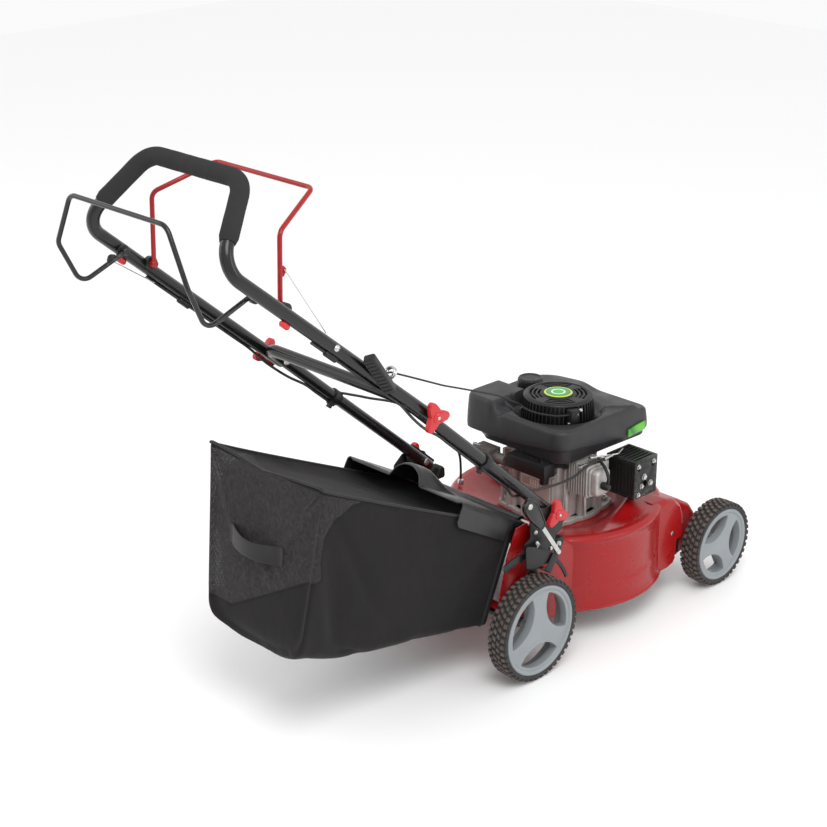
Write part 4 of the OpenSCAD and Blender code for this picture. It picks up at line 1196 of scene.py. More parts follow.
def castings():
    """Columns, webs and flange bosses on the crankcase."""
    bm = bmesh.new()
    for deg, r, top in ((-62, 84, 300), (-36, 84, 296), (-12, 83, 268), (20, 82, 262), (-90, 84, 262),
                        (-118, 86, 300), (150, 84, 290)):
        d = polar(deg).to_3d()
        p = HUB.to_3d() + d * r
        turned(bm, [(0, 222), (9.5, 222), (8, 240), (6.6, top - 3), (5.6, top), (0, top)], p, (0, 0, 1), 24)
        s = Vector((-d.y, d.x, 0)) * 2.2
        web = [(-22, top - 6), (0, top - 10), (14, 240), (17, 226), (-22, 226)]
        ring_skin(bm, [[Vector((p.x, p.y, z)) + d * t + s * q for t, z in web] for q in (-1, 1)])
    for deg in (45, 135, 225, 315):
        boss = [(4.3, 220), (15, 220), (15.4, 224), (14, 229.4), (10, 229.9), (9, 229.4), (4.3, 229.4)]
        turned(bm, boss, (HUB + polar(deg) * 98).to_3d(), (0, 0, 1), 32)
    flange = []
    for a in around(96):
        r = 97 + 13 * max(0, math.cos(4 * (a - math.pi / 4)))
        flange.append((HUB.x + r * math.cos(a), HUB.y + r * math.sin(a)))
    plate(bm, flange, 219.6, 230, 1.5, top_place)
    for v in bm.verts:
        v.co.z -= SINK * (v.co.z < FLANGE_Z)
    add_object("crankcase_ribs", bm, CAST, "deck", 35)


def cylinder():
    """Finned barrel pointing right, its rocker cover, and the plug's rubber boot."""
    bm = bmesh.new()
    square = rounded([(240, 268), (292, 268), (292, 322), (240, 322)], 12)
    plate(bm, square, 78, 131, 1)
    fin = rounded([(233, 261), (299, 261), (299, 327), (233, 327)], 7)
    for k in range(8):
        plate(bm, fin, 83 + 6.2 * k, 85.2 + 6.2 * k, 0.9)
    add_object("cylinder_fins", bm, CAST, "deck", 35, ("cylinder_block",))
    bm = bmesh.new()
    plate(bm, rounded([(237, 264), (284, 264), (284, 322), (237, 322)], 8), 130, 134, 1)
    plate(bm, rounded([(240, 267), (281, 267), (281, 319), (240, 319)], 9), 133, 149, 5)
    add_object("rocker_box", bm, CAST, "deck", 40, ("rocker_cover",))
    bm = bmesh.new()
    turned(bm, [(0, 0), (6, 0), (7.5, 2), (8, 8), (7.4, 15), (5, 19), (0, 19.5)], (148, 256, 290), (1, 0, 0),
           28)
    rod("", spline_path([(160, 256, 294), (163, 257, 308), (150, 262, 324), (124, 272, 333)], 6), 3.2,
        PLASTIC, None, bm=bm)
    add_object("plug_boot", bm, PLASTIC, "deck", replaces=("spark_plug",))


def engine_fittings():
    """Bolts on the guard, the threaded rod, the throttle bracket's rod, spring and nut."""
    bm = bmesh.new()
    for y, z, r in ((352, 286, 5.5), (372, 268, 5), (345, 268, 4.2), (380, 312, 3.2), (334, 312, 3.2),
                    (336, 252, 3.2)):
        head = [(0, 0), (r + 1.6, 0), (r + 1.6, 1), (r, 1.2), (r, 4), (r * 0.6, 4.6), (0, 4.7)]
        turned(bm, head, (174, y, z), (1, 0, 0), 6 if r > 4 else 18)
    rod("", [(-118, 176, 322), (-92, 184, 318), (-66, 192, 314)], 3.2, ZINC, None, bm=bm)
    for k in range(9):
        p = Vector((-112 + k * 5, 178 + k * 1.5, 321.2 - k * 0.75))
        turned(bm, [(3, -0.7), (4.3, 0), (3, 0.7)], p, (0.95, 0.29, -0.15), 16)
    throttle = fillet_path([(112, 262, 334), (124, 300, 332), (132, 322, 331), (120, 350, 330)], 8)
    rod("", throttle, 1.6, ZINC, None, bm=bm)
    nut = [(0, 0), (4.4, 0), (4.4, 9), (3.2, 10), (3.2, 24), (0, 24)]
    turned(bm, nut, (128, 284, 329), (0.02, 0.98, 0.06), 16)
    coil = [Vector((96 + 26 * t / 60, 238 + 4 * math.sin(t * 0.9), 324 + 4 * math.cos(t * 0.9)))
            for t in range(61)]
    rod("", coil, 0.7, ZINC, None, sides=8, dome=False, bm=bm)
    add_object("engine_fittings", bm, ZINC, "deck")


cowl()
starter_cover()
printed_discs()
caps()
castings()
cylinder()
engine_fittings()


# ------------------------------------------------------------------ grass bag
MOUTH_TOP, MOUTH_LOW = Vector((12, 288)), Vector((-65, 106))
REAR_TOP, REAR_LOW = Vector((-457, 505)), Vector((-500, 195))
SIDE_RINGS = 41
EDGE_POINTS = (3, 81)  # of the 104 in a ring: the two top edges
NET_EDGE = [Vector(p) for p in ((-620, 0), (-451, 0), (-452, 331), (-458, 371), (-450, 413), (-429, 440),
                                (-392, 454),
                                (-350, 448), (-288, 413), (-281, 416), (-330, 439), (-400, 472), (-480, 509),
                                (-620, 560))]


def inside_by(outline, p):
    """Distance of p inside a closed outline, negative outside."""
    best, inside = 1e9, False
    for i in range(len(outline)):
        a, b = outline[i - 1], outline[i]
        e = b - a
        t = min(1.0, max(0.0, (p - a).dot(e) / e.length_squared))
        best = min(best, (a + e * t - p).length)
        if (a.y > p.y) != (b.y > p.y) and p.x < a.x + e.x * (p.y - a.y) / e.y:
            inside = not inside
    return best if inside else -best


def bag_ring(top, low, half_top, half_low, r_top, r_low):
    """One soft-cornered ring of the bag, 104 points from the middle of its top."""
    up = Vector((0, top.x - low.x, top.y - low.y)).normalized()
    h = (top - low).length
    base = Vector((0, low.x, low.y))
    corners = [(half_top, h), (half_low, 0), (-half_low, 0), (-half_top, h)]
    radii = [r_top, r_low, r_low, r_top]
    pts = [[] for _ in corners]
    for i, (x, z) in enumerate(corners):
        b = Vector((x, z))
        a, c = Vector(corners[i - 1]), Vector(corners[(i + 1) % 4])
        for t in range(7):
            s = t / 6
            near, far = b + (a - b).normalized() * radii[i], b + (c - b).normalized() * radii[i]
            pts[i].append(near * (1 - s) ** 2 + b * 2 * s * (1 - s) + far * s * s)
    loop = []
    for i in range(4):
        loop += pts[i]
        a, b = pts[i][-1], pts[(i + 1) % 4][0]
        loop += [a + (b - a) * k / 20 for k in range(1, 20)]
    return [Vector((p.x, 0, 0)) + base + up * p.y for p in loop]


def bag_rows():
    """The rings of the bag from its mouth to the middle of its rear panel."""
    rows = []
    for i in range(SIDE_RINGS):
        u = i / (SIDE_RINGS - 1)
        top, low = MOUTH_TOP.lerp(REAR_TOP, u), MOUTH_LOW.lerp(REAR_LOW, u)
        sag = -9 * math.sin(math.pi * clamped((u - 0.35) / 0.75)) + 3 * math.sin(math.pi * clamped(u / 0.4))
        low = low + Vector((0, sag))
        rows.append(bag_ring(top, low, 146.4 + 2 * u, 146.4 - 19 * u, 5 + 5 * u, 7 + 22 * u * u))
    back = (REAR_LOW - REAR_TOP).normalized()
    out = Vector((0, back.y, -back.x))
    last = rows[-1]
    centre = sum(last, Vector()) / len(last)
    for share, push in ((0.985, 5), (0.955, 9), (0.9, 12), (0.82, 14), (0.72, 15), (0.61, 16), (0.49, 17),
                        (0.36, 17), (0.22, 17), (0.08, 17)):
        rows.append([centre + (p - centre) * share + out * push for p in last])
    creases = [(Vector(a), Vector(b), depth) for a, b, depth in (
        ((55, 377), (150, 486), 5), ((52, 342), (-80, 236), 5), ((-72, 376), (-135, 470), 4),
        ((-73, 345), (-120, 262), 3))]
    for p in [p for ring in rows[SIDE_RINGS:] for p in ring]:
        for a, b, depth in creases:
            q = Vector((p.x, p.z)) - a
            t = clamped(q.dot(b - a) / (b - a).length_squared)
            p += out * depth * math.exp(-((q - (b - a) * t).length / 7) ** 2) * (1 - 0.5 * t)
    return rows


def settle(o, pin_group):
    """Cloth simulation of the bag, its moves capped at 20 mm and its sides kept from swelling."""
    start = [v.co.copy() for v in o.data.vertices]
    m = o.modifiers.new("cloth", "CLOTH")
    c = m.settings
    c.quality = 7
    c.mass = 0.22
    c.tension_stiffness = c.compression_stiffness = 22
    c.shear_stiffness = 9
    c.bending_stiffness = 0.6
    c.vertex_group_mass = pin_group
    c.pin_stiffness = 1.0
    scene, last_frame = bpy.context.scene, 22
    scene.frame_start, scene.frame_end = 1, last_frame
    m.point_cache.frame_start, m.point_cache.frame_end = 1, last_frame
    for f in range(1, last_frame + 1):
        scene.frame_set(f)
    done = o.evaluated_get(bpy.context.evaluated_depsgraph_get())
    moved = [v.co.copy() for v in done.data.vertices]
    o.modifiers.clear()
    scene.frame_set(1)
    cap, front = 0.02, at((0, -170, 0)).y
    for v, a, b in zip(o.data.vertices, start, moved):
        d = b - a
        if d.length > cap:
            d = d.normalized() * cap
        grown = (abs((a + d).x) - abs(a.x)) * (1 if a.x * (a + d).x > 0 else 0)
        room = 0.0 if a.y > front else 0.005
        if grown > room:
            d.x -= math.copysign(grown - room, a.x)
        v.co = a + d


def bag_shell():
    """The sewn bag: a lofted shell with a soft rear panel, settled by cloth simulation."""
    bm = bmesh.new()
    vs = ring_skin(bm, bag_rows(), caps=False)
    bm.faces.new(vs[-1])
    bmesh.ops.triangulate(bm, faces=[f for f in bm.faces if len(f.verts) > 4])
    index = {v: i for i, v in enumerate(bm.verts)}
    ids = [[index[v] for v in row] for row in vs]
    o = add_object("bag_shell", bm, BAG, "bag", 180, ("bag_fabric",))
    rear = ids[SIDE_RINGS - 1]
    pin = o.vertex_groups.new(name="pin")
    mouth = [i for row in ids[:3] for i in row]
    pin.add(mouth + rear[:7] + rear[78:85], 1.0, "ADD")
    pin.add(rear[27:32] + rear[53:58], 0.75, "ADD")
    pin.add([row[k] for row in ids[3:SIDE_RINGS - 1] for k in EDGE_POINTS], 0.55, "ADD")
    settle(o, pin.name)
    rails = [[row[k] for row in ids[1:SIDE_RINGS]] for k in EDGE_POINTS]
    rails += [rear[EDGE_POINTS[1]:] + rear[:EDGE_POINTS[0] + 1], ids[1] + ids[1][:1]]
    rails = [[at_back(o.data.vertices[i].co) for i in rail] for rail in rails]
    m = o.modifiers.new("smooth", "SUBSURF")
    m.levels = m.render_levels = 1
    apply_modifiers(o)
    seam = o.data.attributes.new("seam", "FLOAT", "POINT")
    values = []
    for v in o.data.vertices:
        p = at_back(v.co)
        floor_z = min(227 + 0.56 * max(0, min(200, p.x + 64)), 333)
        values.append(min(inside_by(NET_EDGE, Vector((p.y, p.z))), p.z - floor_z))
    seam.data.foreach_set("value", values)
    shade(o, 180)
    return o, rails


def bag_material():
    """Solid cloth and open net in one material, parted by the seam attribute, with a tape between."""
    k = Nodes("bag_cloth_and_net")
    dist = k.add("Attribute", attribute_name="seam").outputs["Fac"]
    net = k.math("GREATER_THAN", dist, 0.0)
    tape = k.math("LESS_THAN", k.math("ABSOLUTE", dist), 3.0)
    fine, open_net = k.weave(0.0016), k.weave(0.0031)
    slow = k.noise(9, 5, 0.6)
    crimp = k.noise(190, 4, 0.6, (0.9, 1, 0.8))
    solid = k.mix(k.span(fine, 0, 1, -1, 1), lin(22, 21, 22), lin(31, 30, 31))
    mesh_tone = k.mix(k.span(crimp, 0, 1, 0.4, 0.62), lin(46, 44, 45), lin(64, 62, 64))
    # painted shade: the net's openings, and the thread edges round them, are painted darker for the shaded inside
    # of the bag seen through them
    mesh_tone = k.mix(k.span(open_net, 0, 1, -0.2, 0.9), mesh_tone, lin(34, 33, 34))
    tone = k.mix(net, solid, mesh_tone)
    tone = k.mix(k.span(slow, 0.0, 0.35), tone, lin(36, 29, 26))
    tone = k.mix(tape, tone, lin(22, 21, 22))
    height = k.math("ADD", k.math("MULTIPLY", net, k.math("MULTIPLY", crimp, 3.0)),
                    k.math("MULTIPLY", tape, 1.2))
    folds = k.bump(k.noise(14, 4, 0.5, (1, 1, 0.55)), 0.5, 0.008)
    ridges = k.bump(height, 0.55, 0.0016, folds)
    holes = k.math("MULTIPLY", k.math("GREATER_THAN", open_net, 0.62), k.math("GREATER_THAN", dist, 3.0))
    alpha = k.math("SUBTRACT", 1.0, k.math("MULTIPLY", holes, 0.8))
    return k.finish(tone, 0.82, k.bump(fine, 0.25, 0.0004, ridges), alpha,
                    Sheen_Weight=0.05, Specular_IOR_Level=0.15)


BAG = bag_material()


def bag_trim(shell, rails):
    """Piping sewn along the bag's edges, and the grab strap across its rear."""
    bm = bmesh.new()
    for i, path in enumerate(rails):
        closed = i == len(rails) - 1
        core = path[:-1] if closed else path
        rings = []
        for j, p in enumerate(core):
            a = core[j - 1] if closed or j else core[0]
            b = core[(j + 1) % len(core)] if closed or j < len(core) - 1 else core[-1]
            t = (b - a).normalized()
            s = t.cross(Vector((0.31, 0.2, 0.93))).normalized()
            w = t.cross(s)
            rings.append([p + s * 2.4 * math.cos(q) + w * 2.4 * math.sin(q) for q in around(10)])
        ring_skin(bm, rings, closed=closed, caps=not closed)
    add_object("bag_piping", bm, WEBBING, "bag", 60)
    skin = BVHTree.FromPolygons([at_back(v.co) for v in shell.data.vertices],
                                [tuple(f.vertices) for f in shell.data.polygons])
    bm = bmesh.new()
    rings = []
    for i in range(33):
        s = i / 32
        x = -78 + 140 * s
        lift = 1.6 + 19 * math.sin(math.pi * clamped((s - 0.07) / 0.86)) ** 0.8
        z = 361 - 3 * math.sin(math.pi * s) - 1.5 * s
        half = 16 + 1.2 * math.cos(2 * math.pi * s)
        ring = []
        for a in around(20):
            high = z + half * math.copysign(abs(math.cos(a)) ** 0.35, math.cos(a))
            wall = skin.ray_cast(Vector((x, -800, high)), Vector((0, 1, 0)))[0].y
            ring.append(Vector((x, wall - lift - 1.1 * math.sin(a), high)))
        rings.append(ring)
    ring_skin(bm, rings)
    add_object("bag_strap", bm, WEBBING, "bag", 50)


shell, edge_paths = bag_shell()
bag_trim(shell, edge_paths)


# ------------------------------------------------------------------ height lever, quadrant and brackets
REAR_PIN = Vector((-28, 119))
LEVER_DIR = Vector((92, 116.5)).normalized()
LEVER_BEND = REAR_PIN + LEVER_DIR * 148
LEVER_TOP = Vector((-20, 352))
HINGE = Vector((32, 287))


def along_line(a, b, pts):
    """Outline points given as (along, aside) from a towards b, in the side view."""
    d = (b - a).normalized()
    n = Vector((-d.y, d.x))
    return [a + d * s + n * w for s, w in pts]


def height_control():
    """Bright lever strip, dark cranked arm, moulded grip with a raised rim and its bolt."""
    def on_lever(pts):
        return along_line(LEVER_TOP, LEVER_BEND, pts)

    def on_arm(pts):
        return along_line(REAR_PIN, LEVER_BEND, pts)

    bm = bmesh.new()
    reach = (LEVER_BEND - LEVER_TOP).length
    plate(bm, rounded(on_lever([(20, -4.5), (reach, -4.5), (reach, 4.5), (20, 4.5)]), 1.5), 207, 210, 0.5)
    turned(bm, [(0, 206.6), (4.4, 206.6), (5, 207), (5, 210.4), (4, 211.4), (0, 211.6)],
           (0, LEVER_BEND.x, LEVER_BEND.y), (1, 0, 0), 24)
    add_object("lever_strip", bm, ZINC, "rear_axle", replaces=("height_lever",))
    bm = bmesh.new()
    arm = on_arm([(106, -10), (150, -9), (158, -5), (160, 0), (158, 5), (150, 9), (106, 10)])
    plate(bm, rounded(arm, 2), 204.4, 206.8, 0.6)
    lo_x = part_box("height_lever")[0].x * 1000
    plate(bm, rounded(on_arm([(14, -10), (112, -10), (112, 10), (14, 10)]), 3), lo_x, lo_x + 3, 0.6)
    guard = [(-20, 272), (6, 262), (62, 230), (72, 214), (27, 219), (4, 216), (-17, 226)]
    plate(bm, rounded(guard, [6, 8, 5, 5, 6, 8, 6]), 200.2, 203, 0.7)
    plate(bm, on_arm([(106, -9), (111, -9), (111, 9), (106, 9)]), lo_x + 1, 206.6, 0.6)
    add_object("lever_arm", bm, SATIN_BLACK, "rear_axle")
    bm = bmesh.new()
    half = [(-6, 15.5), (14, 15.5), (34, 12.5), (60, 8), (64, 5)]
    grip = rounded(on_lever([(-17, -9), (-17, 9)] + half + [(s, -w) for s, w in reversed(half)]),
                   [8, 8, 8, 14, 20, 6, 3, 3, 6, 20, 14, 8])
    plate(bm, grip, 204.4, 213.6, 2.6)
    face = slab_rings(grip, side_place, 213.2, 213.2, 0)[0]
    c = sum(face, Vector()) / len(face)
    core = [c + (p - c) * 0.9 for p in face]
    rings = []
    for i, p in enumerate(core):
        t = (core[(i + 1) % len(core)] - core[i - 1]).normalized()
        n = Vector((1, 0, 0)).cross(t)
        rings.append([p + n * 1.7 * math.cos(q) + Vector((1.9 * math.sin(q), 0, 0)) for q in around(10)])
    ring_skin(bm, rings, closed=True)
    add_object("lever_handgrip", bm, BLACK, "rear_axle", 50, ("lever_grip",))
    bm = bmesh.new()
    bolt = LEVER_TOP + (LEVER_TOP - LEVER_BEND).normalized() * 4
    turned(bm, [(0, 212), (6.4, 212), (6.4, 213.4), (5.2, 214.8), (2.4, 215.6), (0, 215.7)],
           (0, bolt.x, bolt.y), (1, 0, 0), 28)
    add_object("lever_grip_bolt", bm, ZINC, "rear_axle", 50)


def notched_arc():
    """The toothed arc above the wheel: broad and toothed behind, a thin strip in front."""
    outer, inner = [], []
    steps, toothed_from, pitch = 60, 74, 8.5
    for i in range(steps + 1):
        t = i / steps
        deg = 108 - 90 * t
        r, half = 124 + 18 * t, 6.5 - 2.5 * t
        phase = (deg - toothed_from) / pitch % 1
        tooth = 6.5 * (1 - abs(2 * phase - 1)) if toothed_from < deg < 107 else 0
        slim = 1.5 if tooth == 0 and deg < toothed_from else 0
        outer.append(REAR_PIN + polar(deg) * (r + half))
        inner.append(REAR_PIN + polar(deg) * (r - half - tooth + slim))
    bm = bmesh.new()
    plate(bm, outer + inner[::-1], 190, 193.4, 0.4)
    add_object("height_notches", bm, SATIN_BLACK, "deck", 30, ("height_quadrant",))
    bm = bmesh.new()
    for p in ((179.6, 31, 276), (179.6, 75, 229)):
        turned(bm, [(0, 0), (4.6, 0), (4.6, 1.6), (3.2, 2.8), (0, 3.2)], p, (1, 0, 0), 20)
    spring = [(181, 36, 254), (188, 30, 254), (193, 21, 251), (193, 16, 243), (190, 15, 238)]
    rod("", fillet_path(spring, 4), 1.6, ZINC, None, bm=bm)
    for k in range(5):
        turned(bm, [(2.2, -0.8), (3.4, 0), (2.2, 0.8)], (182 + k * 1.6, 34.5 - k * 1.2, 254), (0.8, -0.6, 0),
               16)
    add_object("notch_fittings", bm, ZINC, "deck")


def mount_plates():
    """The black plates that carry the handle: a broad folded one with a stiffening edge."""
    bm = bmesh.new()
    out = rounded([(96, 226), (87, 236), (88, 252), (104, 258), (112, 284), (101, 309), (80, 318), (58, 316),
                   (40, 322), (16, 303),
                   (18, 268), (2, 259), (2, 237), (22, 229), (40, 219), (54, 213), (74, 212), (84, 222)],
                  [3, 5, 5, 5, 12, 10, 12, 10, 8, 8, 6, 6, 4, 6, 4, 4, 6, 3])
    plate(bm, out, 177, 180, 0.8)
    edge = [Vector((181.5, y, z)) for y, z in ((22, 231), (40, 222), (55, 216), (72, 215))]
    ring_skin(bm, sweep_rings(spline_path(edge, 4), 2.6, 12))
    plate(bm, rounded([(76, 222), (114, 222), (114, 240), (76, 240)], 3), 163.4, 177.4, 0.8)
    mirrored(bm)
    add_object("handle_mount_plates", bm, SATIN_BLACK, "deck", 35, ("handle_brackets",))


# ------------------------------------------------------------------ rear flap
def flap_point(x, s, h):
    """A point of the flap: x across, s back from the hinge along it, h above it."""
    a = math.atan2(90, 160)
    return Vector((x, HINGE.x - s * math.cos(a) + h * math.sin(a),
                   HINGE.y + s * math.sin(a) + h * math.cos(a)))


def flap():
    """The moulded rear flap: rolled sides, turned-down skirts and a hump over the bag's handle."""
    half, roll_r = 151.8, 8
    rows = []
    for s in (8, 12, 20, 30, 40, 52, 64, 76, 88, 100, 112, 124, 136, 146, 154, 162, 169, 175, 179.5, 182.5,
              184):
        deep = 6 + 39 * smoothstep((s - 22) / 16) - 8 * smoothstep((s - 176) / 8)
        tip = 3.2 * smoothstep((s - 177) / 7)
        rise = smoothstep((s - 50) / 100)
        path = [Vector((-half, -deep)), Vector((-half, -deep * 0.6)), Vector((-half, -10))]
        path += [Vector((-half + roll_r * (1 - math.cos(t)), roll_r * (math.sin(t) - 1)))
                 for t in (0.3, 0.6, 0.9, 1.2, math.pi / 2)]
        skirt = len(path)
        for x in list(range(-136, -44, 12)) + list(range(-44, 45, 4)) + list(range(52, 137, 12)):
            hump = 31 * rise * math.sqrt(max(0, 1 - (x / 37) ** 2)) ** (1.0 if s > 130 else 1.25)
            rib = 1.2 * math.exp(-((abs(x) - 96) / 3) ** 2) * smoothstep((s - 20) / 12) * smoothstep((168 - s) / 10)
            path.append(Vector((x, hump + rib - tip)))
        path += [Vector((-p.x, p.y)) for p in reversed(path[:skirt])]
        rows.append([flap_point(p.x, s, p.y) for p in path + offset_profile(path, -2.1)[::-1]])
    bm = bmesh.new()
    ring_skin(bm, rows)
    curl = [Vector((-9 * math.cos(math.radians(t)), 9 * math.sin(math.radians(t)))) for t in range(-10, 100,
                                                                                                   20)]
    curl += [Vector((7, 7.4)), Vector((12, 3.6)), Vector((17, 0.8)), Vector((24, 0))]
    hem = curl + offset_profile(curl, -1.8)[::-1]
    ring_skin(bm, [[flap_point(x, p.x, p.y) for p in hem] for x in (-143, 143)])
    lug = ((4.4, 1.2), (10, 0.6), (10, -1.6), (4.4, -2.4))
    for x0, x1 in ((-139, -88), (-36, 36), (88, 139)):
        turned(bm, [(4.4, x0), (7.3, x0), (7.5, x0 + 1), (7.5, x1 - 1), (7.3, x1), (4.4, x1)],
               (0, HINGE.x, HINGE.y), (1, 0, 0), 28)
        ring_skin(bm, [[flap_point(x, s, h) for s, h in lug] for x in (x0, x1)])
    add_object("rear_flap_moulding", bm, FLAP_PLASTIC, "rear_flap", 40, ("rear_flap",))


FLAP_PLASTIC = moulded("flap_plastic", lin(30, 30, 31), 0.36, 520, 0.5, vary=0.08)

height_control()
notched_arc()
mount_plates()
flap()


# ------------------------------------------------------------------ cables, clips and starter
def lower_axis(t):
    """A point on the lower tube's axis, t of the way from its foot to the top bend."""
    return base_end + (LOWER_TOP - base_end) * t


def blend_between(o):
    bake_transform(o)


def cable_run(name, pts, nodes=()):
    """A sheathed cable through the points."""
    o = rod(name, spline_path(pts, 5), CABLE_R, CABLE, None, 12)
    if nodes:
        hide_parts(*nodes)
    blend_between(o)


HUG = Vector((0, -8.6, -10.3))
HUG_LOW = Vector((0, -8.7, -10.2))
CABLE_R = 2.5
ROPE_R = 1.7


def control_cables():
    """The two control cables: along the upper tubes, across the fold, down the lower tubes."""
    for s, side, top_y in ((1, "right", -500), (-1, "left", -540)):
        upper = [upper_at(y) + HUG for y in (top_y, -470, -430, -390, -350, -318)]
        lower = [lower_axis(t) + HUG_LOW for t in (0.76, 0.7, 0.62)]
        a, b = upper[-1], lower[0]
        fold = [a.lerp(b, 0.35) + Vector((2, -3, -4)), a.lerp(b, 0.7) + Vector((0, -3, -4))]
        cable_run("cable_upper_" + side, [on_side(s, p) for p in upper + fold + lower],
                  ("upper_cables",) if s > 0 else ())
    tip = Vector((141, 84, 334))
    run = [lower_axis(t) + HUG_LOW for t in (0.62, 0.52, 0.42, 0.32)]
    run += [(163, -12, 357), (152, 40, 345), tip, (136, 140, 325), (134, 190, 324), (131, 240, 335),
            (128, 286, 329)]
    cable_run("stop_cable_lower", run,
              ("lower_cables",))
    first, tip = Vector((-162, -150, 505)), Vector((-158, 157, 323))
    run = [left(lower_axis(0.62) + HUG_LOW), first, (-158, -104, 489), (-157, -66, 473), (-156, -2, 447),
           (-156, 52, 413), (-157, 108, 364), tip, (-158, 178, 286), (-158, 183, 255), (-158, 183, 229)]
    cable_run("drive_cable_lower", run)
    for s, pin, knee, reach, top_y, off, body in (
            (1, RED_PIN, RED_KNEE, 62, -486, (-3, 11, 8), "red_bail"),
            (-1, BLACK_PIN, BLACK_KNEE, 30, -525, (-3, -9, -11), "black_bail")):
        a = pin + (knee - pin).normalized() * reach + Vector((6, 4, 0))
        b = upper_at(top_y) + Vector(off)
        o = rod(body + "_wire", [on_side(s, a.lerp(b, k / 12)) for k in range(13)], 0.9, ZINC, None,
                8)
        blend_between(o)


def tube_clips():
    """Moulded cable clips round the lower tubes, and the boot on the left tube's foot."""
    bm = bmesh.new()
    for s, t in ((1, 0.49), (-1, 0.61)):
        c = on_side(s, lower_axis(t))
        f = on_side(s, (LOWER_TOP - base_end).normalized())
        turned(bm, [(11.1, -9), (14, -9), (14.6, -8), (14.6, 8), (14, 9), (11.1, 9)], c, f, 36)
        n = Vector((0, HUG_LOW.y, HUG_LOW.z)).normalized()
        w = f.cross(n)
        for m, wide, tall in ((15, 7, 12), (21, 4.5, 9)):
            block = rounded([(-wide, -tall / 2), (wide, -tall / 2), (wide, tall / 2), (-wide, tall / 2)], 2)
            plate(bm, block, m - 6, m + 2, 1.2, lambda p, z: c + w * p[0] + f * p[1] + n * z)
    add_object("tube_clips", bm, PLASTIC, "lower_handle", 35, ("cable_clips",))
    bm = bmesh.new()
    boot = rounded([(46, 300), (42, 316), (58, 328), (106, 285), (111, 272), (98, 263)], [8, 8, 5, 5, 6, 10])
    plate(bm, boot, -176.4, -164.8, 3.5)
    plate(bm, rounded([(53, 334), (58, 339), (116, 289), (112, 283)], 1), -173.5, -165.6, 0.6)
    add_object("left_tube_boot", bm, PLASTIC, "lower_handle", 40)
    bm = bmesh.new()
    foot = rounded([(106, 250), (118, 272), (126, 277), (133, 270), (135, 250)], [6, 3, 4, 4, 6])
    plate(bm, foot, -176.4, -153, 3)
    add_object("left_tube_rest", bm, PLASTIC, "deck", 40)
    bm = bmesh.new()
    turned(bm, [(0, 0), (4.6, 0), (4.6, 1.6), (3.2, 2.8), (0, 3)], (-165, 86, 296), (1, 0, 0), 20)
    add_object("left_boot_screw", bm, ZINC, "lower_handle", 50)


def starter():
    """Ribbed starter grip, wire guide with its double loop, and the rope in three parts."""
    guide = Vector((190, -345, 692))
    axis = (UPPER_BACK - FOLD_HI).normalized()
    side = Vector((1, 0, 0))
    up = axis.cross(side).normalized()
    up = up if up.z > 0 else -up
    foot = guide - up * 19
    wire = [foot - axis * 8 - side * 2, foot - axis * 5 + side * 2]
    for k in range(49):
        a = 2 * math.pi * 2 * k / 48 - 2.2
        wire.append(guide + (side * math.cos(a) + up * math.sin(a)) * 8.6 + axis * (-4.4 + 8.8 * k / 48))
    wire += [foot + axis * 5 + side * 2, foot + axis * 8 - side * 2]
    bm = bmesh.new()
    ring_skin(bm, sweep_rings(spline_path(wire, 2), 1.9, 12))
    add_object("rope_guide_loops", bm, ZINC, "upper_handle", 60, ("rope_guide",))
    centre = Vector((211, -389.8, 706))
    along = Vector((0, -48.4, 68.9)).normalized()
    aside = along.cross((guide - centre).normalized()).normalized()
    out = aside.cross(along)
    bm = bmesh.new()
    body = rounded([(-42, -10), (42, -10), (42, 10), (-42, 10)], 4)
    plate(bm, body, -8, 8, 2.5, lambda p, z: centre + along * p[0] + aside * p[1] + out * z)
    for k in range(9):
        s = -34 + 8.5 * k
        rib = rounded([(s - 1.6, -8), (s + 1.6, -8), (s + 1.6, 8), (s - 1.6, 8)], 1)
        for face in (-1, 1):
            plate(bm, rib, 7, 9.2, 0.7, lambda p, z: centre + along * p[0] + aside * p[1] + out * z * face)
    pull = (guide - centre).normalized()
    turned(bm, [(0, 6), (6, 6), (5.4, 13), (3.4, 18), (0, 18)], centre, pull, 24)
    add_object("starter_handgrip", bm, PLASTIC, "starter_grip", 35, ("starter_grip",))
    inner, outer = guide - pull * 1.5, centre + pull * 15
    middle, far = Vector((128, -160, 602)), Vector((-4, 158, 449))
    winding = [HUB.to_3d() + polar(a).to_3d() * 78.5 + Vector((0, 0, 413.6 - 0.02 * (a + 120)))
               for a in range(-118, -34, 12)]
    upper = spline_path([guide, Vector((166, -279, 660)), middle], 6)
    lower = spline_path([middle, (86, -40, 548), (38, 80, 492), far, (-30, 206, 423)] + winding
                        + [(72.6, 262.2, 413.8)], 5)
    parts = {}
    for part, path, bodies, start, end in (
            ("end", [inner.lerp(outer, k / 24) for k in range(25)], ("upper_handle", "starter_grip"), inner,
             outer),
            ("upper", upper, ("upper_handle", "lower_handle"), guide, Vector((150, -230, 636))),
            ("lower", lower, ("lower_handle", "deck"), middle, far)):
        parts[part] = rod("starter_rope_" + part, path, ROPE_R, ROPE, None, 10, dome=False)
        blend_between(parts[part])
    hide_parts("starter_rope")


